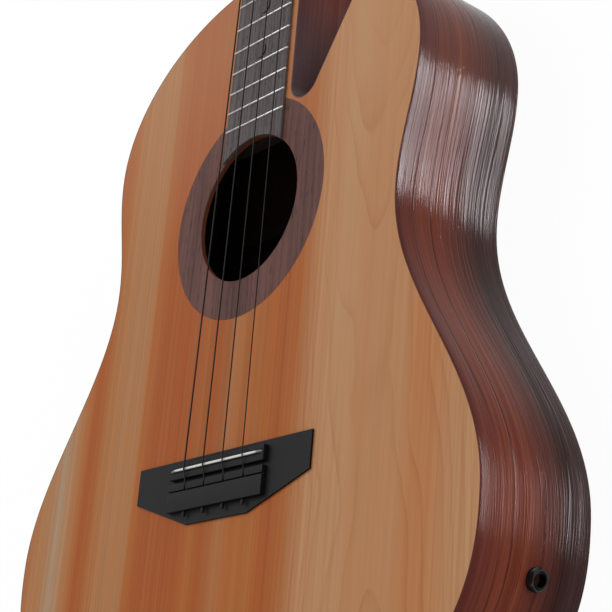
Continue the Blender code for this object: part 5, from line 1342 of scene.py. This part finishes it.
def makeCover(s):
    # a bell-shaped plate with rounded upper edges, and two socket screws
    t = np.linspace(0, np.pi / 2, 16)
    tip = np.column_stack([s["shoulderHalf"] * (1 - np.sin(t) ** 2.45).clip(0) ** 0.75,
                           s["shoulder"] + (s["length"] - s["shoulder"]) * np.sin(t)])
    half = np.vstack([[(s["half"], gap)], tip])
    half[-1, 0] = 0
    line = np.vstack([half, half[-2::-1] * (-1, 1)])
    points, faces = plateSolid(roundedRows(line, gap + s["thick"], gap, 0.0004, 0.0003, 4), [])
    mergedFacing("rodCover", headPlaced(points), faces, looks["cover"], nodes=("truss_rod_cover",), slot="jack_black")
    shells = [screwHead(s["screwRadius"], s["screwRise"], (x, y, gap + s["thick"])) for x, y in s["screws"]]
    points, faces = stackShells(shells)
    newPiece("coverScrews", headPlaced(points), faces, looks["chrome"], nodes=("truss_rod_cover",), slot="jack_black")


def screwHead(radius, rise, centre, down=False):
    # a domed head with a round socket; down turns it to face the other way
    a = np.linspace(0, 1.35, 6)
    dome = np.column_stack([radius * np.cos(a * 0.9), rise * np.sin(a) / math.sin(1.35)])
    profile = np.vstack([[(radius * 0.9, -0.0004)], dome, [(radius * 0.34, rise * 0.98), (radius * 0.32, rise * 0.25),
                                                           (radius * 0.04, rise * 0.15)]])
    points, faces = turned(profile, 24)
    if down:
        points = points * (1, -1, -1)
    return points + np.array(centre), faces


makeNeck(neckShape)
makeCover(coverShape)
print("neck made")


# tuners and strap button

tunerShape = dict(
    plateThick=0.0018, plateHalf=0.012, longEnd=0.0165, shortEnd=0.011, corner=0.003, edge=0.0004,
    gearRadius=0.0070, gearTeeth=20, gearThick=0.0035, wormRadius=0.0032, toothHeight=0.0012, backlash=0.0003,
    wormTurns=3, shaftRadius=0.0020, earThick=0.0020, earHalf=0.0040,
    keyReach=0.026, keyLength=0.022, keyHalfWidth=0.0095, keyThick=0.0062,
    postRadius=0.0046, waist=0.0044, top=0.016, capRadius=0.0056, slot=0.0024, spigot=0.0026,
    bushRadius=0.0062, bushFlange=0.0084, bushThick=0.0015, bushLength=0.008,
    screwRadius=0.0015, screwRise=0.0008,
)
t = tunerShape
plateTop = -headShape["thick"] - gap
plateLow = plateTop - t["plateThick"]
wormOuter, wormRoot = t["wormRadius"] + t["toothHeight"] / 2, t["wormRadius"] - t["toothHeight"] / 2
wormZ = plateLow - wormOuter - 0.0006
wormY = -(t["gearRadius"] + t["wormRadius"])
wormLead = 2 * math.pi * t["gearRadius"] / t["gearTeeth"]
wormHalf = wormLead * t["wormTurns"] / 2 + 0.0012
earX = wormHalf + gap


def plateShells(s):
    # the base plate with its rounded corners, two ears with the shaft's bores, and four screws
    corners = []
    for cx, cy, first in ((1, s["shortEnd"], 0), (-1, s["shortEnd"], 90), (-1, -s["longEnd"], 180), (1, -s["longEnd"], 270)):
        a = np.radians(first + np.linspace(0, 90, 9))
        px, py = cx * (s["plateHalf"] - s["corner"]), cy - math.copysign(s["corner"], cy)
        corners.append(np.column_stack([px + s["corner"] * np.cos(a), py + s["corner"] * np.sin(a)]))
    line = np.vstack(corners)
    bore = circleLine(s["postRadius"] + gap, 40)
    rows = roundedRows(line, -plateLow, -plateTop, s["edge"], 0.0003, 4)
    points, faces = plateSolid(rows, [[(bore, -plateLow), (bore, -plateTop)]])
    shells = [(points * (1, 1, -1), faces)]
    a = np.linspace(np.pi, 2 * np.pi, 25)
    arch = np.column_stack([wormY + s["earHalf"] * np.cos(a), wormZ + s["earHalf"] * np.sin(a)])
    ear = np.vstack([arch, [(wormY + s["earHalf"], plateLow + 0.001), (wormY - s["earHalf"], plateLow + 0.001)]])
    hole = circleLine(s["shaftRadius"] + gap, 24, wormY, wormZ)
    r = 0.0003
    for side in (-1, 1):
        near, far = side * earX, side * (earX + s["earThick"])
        step = math.copysign(r, far - near)
        rows = [(insetLine(ear, r), near), (ear, near + step), (ear, far - step), (insetLine(ear, r), far)]
        points, faces = plateSolid(rows, [[(hole, near), (hole, far)]])
        shells.append((points[:, [2, 0, 1]], faces))
    for x, y in ((1, s["shortEnd"]), (-1, s["shortEnd"]), (1, -s["longEnd"]), (-1, -s["longEnd"])):
        centre = (x * (s["plateHalf"] - 0.0027), y - math.copysign(0.0027, y), plateLow)
        shells.append(screwHead(s["screwRadius"], s["screwRise"], centre, down=True))
    return stackShells(shells)


def keyShells(s):
    # On its own axis: the core and the shaft are turned, the thread is a trapezium carried along a helix,
    # and the key is a row of ovals whose size follows a superellipse. Laid along +X at the end.
    end = earX + s["earThick"] + 0.0005
    shaft, r = s["shaftRadius"], 0.00025
    core = [(shaft - r, -end), (shaft, -end + r), (shaft, -wormHalf), (wormRoot - r, -wormHalf), (wormRoot, -wormHalf + r),
            (wormRoot, wormHalf - r), (wormRoot - r, wormHalf), (shaft, wormHalf), (shaft, end),
            (shaft * 1.3, end + 0.0008), (shaft * 1.3, s["keyReach"] - 0.0025), (shaft * 1.55, s["keyReach"] - 0.0015),
            (shaft * 1.55, s["keyReach"] - 0.0003), (shaft * 1.3, s["keyReach"] + 0.0004),
            (shaft * 1.1, s["keyReach"] + 0.003)]
    shells = [turned(core, 32)]
    steps, turns = 32, s["wormTurns"]
    crest = wormLead / 4 - s["backlash"] / 2
    i = np.arange(steps * turns + 1)
    angle = 2 * np.pi * i / steps - np.pi * turns
    fade = np.minimum(1.0, 1.4 * np.minimum(i, steps * turns - i) / steps)
    top = wormRoot - 0.0001 + (wormOuter - s["backlash"] / 2 - wormRoot) * np.maximum(fade, 0.12)
    low = np.full(len(i), wormRoot - 0.0006)
    radius = np.stack([low, top, top, low], axis=1)
    shift = np.array((-crest * 1.35, -crest * 0.62, crest * 0.62, crest * 1.35))
    along = (wormLead * angle / (2 * np.pi))[:, None] + shift
    shells.append(skin(np.stack([radius * np.cos(angle)[:, None], radius * np.sin(angle)[:, None], along], axis=2)))
    t = -np.cos(np.linspace(0, np.pi, 29))
    swell = np.sqrt((1 - np.abs(t) ** 2.6).clip(0))
    swell = np.where(t < 0, np.maximum(swell, 0.22), np.maximum(swell, 0.03))
    a = np.linspace(0, 2 * np.pi, 40, endpoint=False)
    wide, thick = s["keyHalfWidth"] * swell[:, None], s["keyThick"] / 2 * swell[:, None] ** 0.6
    # both faces are slightly dished for the fingers
    dish = 1 - 0.22 * (swell[:, None] ** 3) * np.sin(a) ** 4
    z = (s["keyReach"] + s["keyLength"] * (t + 1) / 2)[:, None] + 0 * a
    shells.append(skin(np.stack([wide * np.cos(a), thick * np.sin(a) * dish, z], axis=2)))
    points, faces = stackShells(shells)
    return points[:, [2, 0, 1]], faces


def postShells(s, slotFloor):
    # the turned post below its slot, and above it two halves cut off straight beside the slot
    low = wormZ - s["gearThick"] / 2 - 0.0012
    shoulder = wormZ + s["gearThick"] / 2 + gap
    r, w, cap = s["postRadius"], s["waist"], s["capRadius"]
    profile = np.array([
        (s["spigot"] - 0.0003, low), (s["spigot"], low + 0.0003), (s["spigot"], shoulder), (r, shoulder), (r, 0.0028),
        (r * 1.12, 0.0031), (r * 1.12, 0.0038), (w + 0.0002, 0.0042), (w, 0.0046), (w, s["top"] - 0.0037),
        (w + 0.0003, s["top"] - 0.0034), (cap - 0.0003, s["top"] - 0.0029), (cap, s["top"] - 0.0025),
        (cap, s["top"] - 0.0011), (cap * 0.97, s["top"] - 0.0006), (cap * 0.90, s["top"] - 0.0002),
        (cap * 0.82, s["top"])])
    edge = np.interp(slotFloor, profile[:, 1], profile[:, 0])
    below = profile[profile[:, 1] < slotFloor]
    shells = [turned(np.vstack([below, [(edge, slotFloor)]]), 48)]
    above = np.vstack([[(edge, slotFloor)], profile[profile[:, 1] > slotFloor]])
    cut = np.arcsin(s["slot"] / 2 / above[:, :1])
    a = cut + (np.pi - 2 * cut) * np.linspace(0, 1, 25)[None]
    half = np.stack([above[:, :1] * np.cos(a), above[:, :1] * np.sin(a), above[:, 1:] + 0 * a], axis=2)
    for flip in (1, -1):
        shells.append(skin(half * (flip, flip, 1)))
    return stackShells(shells)


def bushingRing(s):
    # a sleeve with a domed flange on the head's face
    inner, flange, top = s["postRadius"] + gap, s["bushFlange"], gap + s["bushThick"]
    return turnedRing([(inner, -s["bushLength"]), (s["bushRadius"], -s["bushLength"]), (s["bushRadius"], gap),
                       (flange, gap), (flange, gap + 0.0005), (flange - 0.0002, gap + 0.0009),
                       (flange - 0.0009, top - 0.0002), (flange - 0.0018, top), (inner + 0.0003, top),
                       (inner, top - 0.0002)], 64)


def makeTuners(s):
    plate, key, bushing = plateShells(s), keyShells(s), bushingRing(s)
    for string in stringShape["order"]:
        x, along, hand = postPlace(string)
        route, _ = windingRoute(string)
        first, top = math.atan2(-route[0][1], -route[0][0]), route[0][2]
        turn = np.array(((math.cos(first), -math.sin(first), 0), (math.sin(first), math.cos(first), 0), (0, 0, 1)))
        seat, mirror = np.array((x, along, 0.0)), (hand, 1, 1)
        label = f"tuner{string.upper()}"
        made = newPiece(label + "Plate", headPlaced(plate[0] * mirror, seat), plate[1], looks["nickel"],
                        nodes=(f"tuner_{string}_plate",), slot="tuner_plate")
        fixFacing(made)
        newPiece(label + "Bushing", headPlaced(bushing[0], seat), bushing[1], looks["chrome"],
                 nodes=(f"tuner_{string}_bushing",), slot="tuner_chrome")
        made = newPiece(label + "Key", headPlaced((key[0] + (0, wormY, wormZ)) * mirror, seat), key[1], looks["chrome"],
                        body=f"tuner_{string}_key_body", nodes=(f"tuner_{string}_key",), slot="tuner_chrome")
        fixFacing(made)
        post = postShells(s, top - stringShape["thick"][string] / 2 - gap)
        made = newPiece(label + "Post", headPlaced(post[0] @ turn.T, seat), post[1], looks["chrome"],
                        body=f"tuner_{string}_post_body", nodes=(f"tuner_{string}_post",), slot="tuner_chrome")
        fixFacing(made)


def fixFacing(piece):
    # pieces of several shells: each shell is turned outwards
    bm = bmesh.new()
    bm.from_mesh(piece.data)
    bmesh.ops.recalc_face_normals(bm, faces=bm.faces)
    bm.to_mesh(piece.data)
    bm.free()


buttonShape = dict(radius=0.0075, length=0.011, shank=0.0022, screw=0.016)


def makeButton(s):
    # turned about its screw, which runs into the tail block
    r, n = s["radius"], s["length"]
    profile = [(s["shank"] * 0.1, s["screw"]), (s["shank"], s["screw"] - 0.004), (s["shank"], -gap),
               (r * 0.87, -gap), (r * 0.9, -gap - 0.0003), (r * 0.9, -0.0012), (r * 0.85, -0.0017), (r * 0.63, -0.0028),
               (r * 0.56, -0.0038), (r * 0.55, -0.0052), (r * 0.60, -0.0064), (r * 0.78, -0.0076), (r * 0.96, -0.0085),
               (r, -0.0090), (r, -n + 0.0010), (r * 0.96, -n + 0.0004), (r * 0.88, -n), (r * 0.42, -n),
               (r * 0.38, -n + 0.0006), (r * 0.05, -n + 0.0009)]
    points, faces = turned(profile, 64)
    points = points[:, [0, 2, 1]] * (1, 1, -1) + (0, bodyShape["tailY"], bodyShape["depth"] / 2)
    made = newPiece("strapButton", points, faces, looks["nickel"], nodes=("strap_button",), slot="tuner_chrome")
    fixFacing(made)


makeTuners(tunerShape)
makeButton(buttonShape)
print("tuners made")


# CAD nodes that keep their shape

# the braces, linings, blocks and bridge plate wear the near-black painted shade of the inside
plainNodes = {
    "brace": ("x_brace_over", "x_brace_under", "transverse_brace", "back_brace_upper",
              "back_brace_middle", "back_brace_lower"),
    "lining": ("bass_top_lining", "treble_top_lining", "bass_back_lining", "treble_back_lining"),
    "block": ("neck_block", "tail_block"),
    "innerPlate": ("bridge_plate",),
    "steel": ("truss_rod",),
    "brass": ("pickup_strip", *(f"tuner_{s}_gear" for s in "eadg")),
    "lead": ("pickup_lead",),
}
for finish, names in plainNodes.items():
    for name in names:
        look(frame["nodes"][name], looks[finish])
print("kept nodes dressed")


# floor, backdrop and light

lightSettings = dict(
    floorHalf=4.0, floorTone=(252, 252, 252), shadowShare=0.05, worldTone=(235, 238, 242), worldStrength=0.55,
    lamps=(
        ("keyPanel", (-1.4, 0.9, 2.2), (0.0, -0.05, 0.05), 1.6, 38.0),
        ("fillPanel", (1.6, -1.5, 1.6), (0.0, -0.1, 0.04), 1.8, 12.0),
        ("sidePanel", (1.9, 0.7, 0.5), (0.12, 0.0, 0.04), 1.0, 10.0),
    ),
    # a low softbox with a grid, seen only in the polish of the sides: place, aim, sizes, power, spread
    softbox=((0.695, 0.046, -0.384), (0.15, -0.125, -0.202), (0.50, 0.53), 11.8, math.radians(57.0)),
)


def makeStage(s):
    n = s["floorHalf"]
    mesh = bpy.data.meshes.new("studioFloor")
    z = cadBox[0].z - 0.0002
    mesh.from_pydata([(-n, -n, z), (n, -n, z), (n, n, z), (-n, n, z)], [], [(0, 1, 2, 3)])
    floor = bpy.data.objects.new("studioFloor", mesh)
    bpy.context.scene.collection.objects.link(floor)
    made = bpy.data.materials.new("floorPaper")
    made.use_nodes = True
    tree = made.node_tree
    tree.nodes.clear()
    rays = addNode(tree, "LightPath").outputs
    paper = addNode(tree, "BsdfDiffuse", {"Color": srgb(*s["floorTone"])}).outputs[0]
    bright = addNode(tree, "Emission", {"Color": (1, 1, 1, 1), "Strength": 1.0}).outputs[0]
    seen = calc(tree, "MAXIMUM", rays["Is Camera Ray"],
                calc(tree, "MAXIMUM", rays["Is Glossy Ray"], rays["Is Transmission Ray"]))
    share = calc(tree, "MULTIPLY", seen, 1 - s["shadowShare"])
    mixed = addNode(tree, "MixShader", {0: share, 1: paper, 2: bright}).outputs[0]
    # seen from below the paper is clear, so that the back can be looked at
    clear = addNode(tree, "BsdfTransparent").outputs[0]
    below = addNode(tree, "NewGeometry").outputs["Backfacing"]
    final = addNode(tree, "MixShader", {0: below, 1: mixed, 2: clear}).outputs[0]
    addNode(tree, "OutputMaterial", {"Surface": final})
    mesh.materials.append(made)

    world = bpy.data.worlds.new("studioWorld")
    bpy.context.scene.world = world
    world.use_nodes = True
    tree = world.node_tree
    tree.nodes.clear()
    rays = addNode(tree, "LightPath").outputs
    seen = calc(tree, "MAXIMUM", rays["Is Camera Ray"],
                calc(tree, "MAXIMUM", rays["Is Glossy Ray"], rays["Is Transmission Ray"]))
    soft = addNode(tree, "Background", {"Color": srgb(*s["worldTone"]), "Strength": s["worldStrength"]}).outputs[0]
    white = addNode(tree, "Background", {"Color": (1, 1, 1, 1), "Strength": 1.0}).outputs[0]
    mixed = addNode(tree, "MixShader", {0: seen, 1: soft, 2: white}).outputs[0]
    addNode(tree, "OutputWorld", {"Surface": mixed})

    for name, at, aim, size, power in s["lamps"]:
        data = bpy.data.lights.new(name, "AREA")
        data.shape = "SQUARE"
        data.size = size
        data.energy = power
        lamp = bpy.data.objects.new(name, data)
        bpy.context.scene.collection.objects.link(lamp)
        direction = Vector(aim) - Vector(at)
        lamp.matrix_world = Matrix.Translation(at) @ direction.to_track_quat("-Z", "Y").to_matrix().to_4x4()
    at, aim, sizes, power, spreadAngle = s["softbox"]
    data = bpy.data.lights.new("sideSoftbox", "AREA")
    data.shape = "RECTANGLE"
    data.size, data.size_y = sizes
    data.energy, data.spread, data.color = power, spreadAngle, (0.9, 1.0, 1.05)
    lamp = bpy.data.objects.new("sideSoftbox", data)
    bpy.context.scene.collection.objects.link(lamp)
    direction = Vector(aim) - Vector(at)
    lamp.matrix_world = Matrix.Translation(at) @ direction.to_track_quat("-Z", "Y").to_matrix().to_4x4()
    lamp.visible_camera = lamp.visible_diffuse = False
    floor.visible_glossy = False  # the world behind it is as white as the paper


makeStage(lightSettings)
print("stage made")
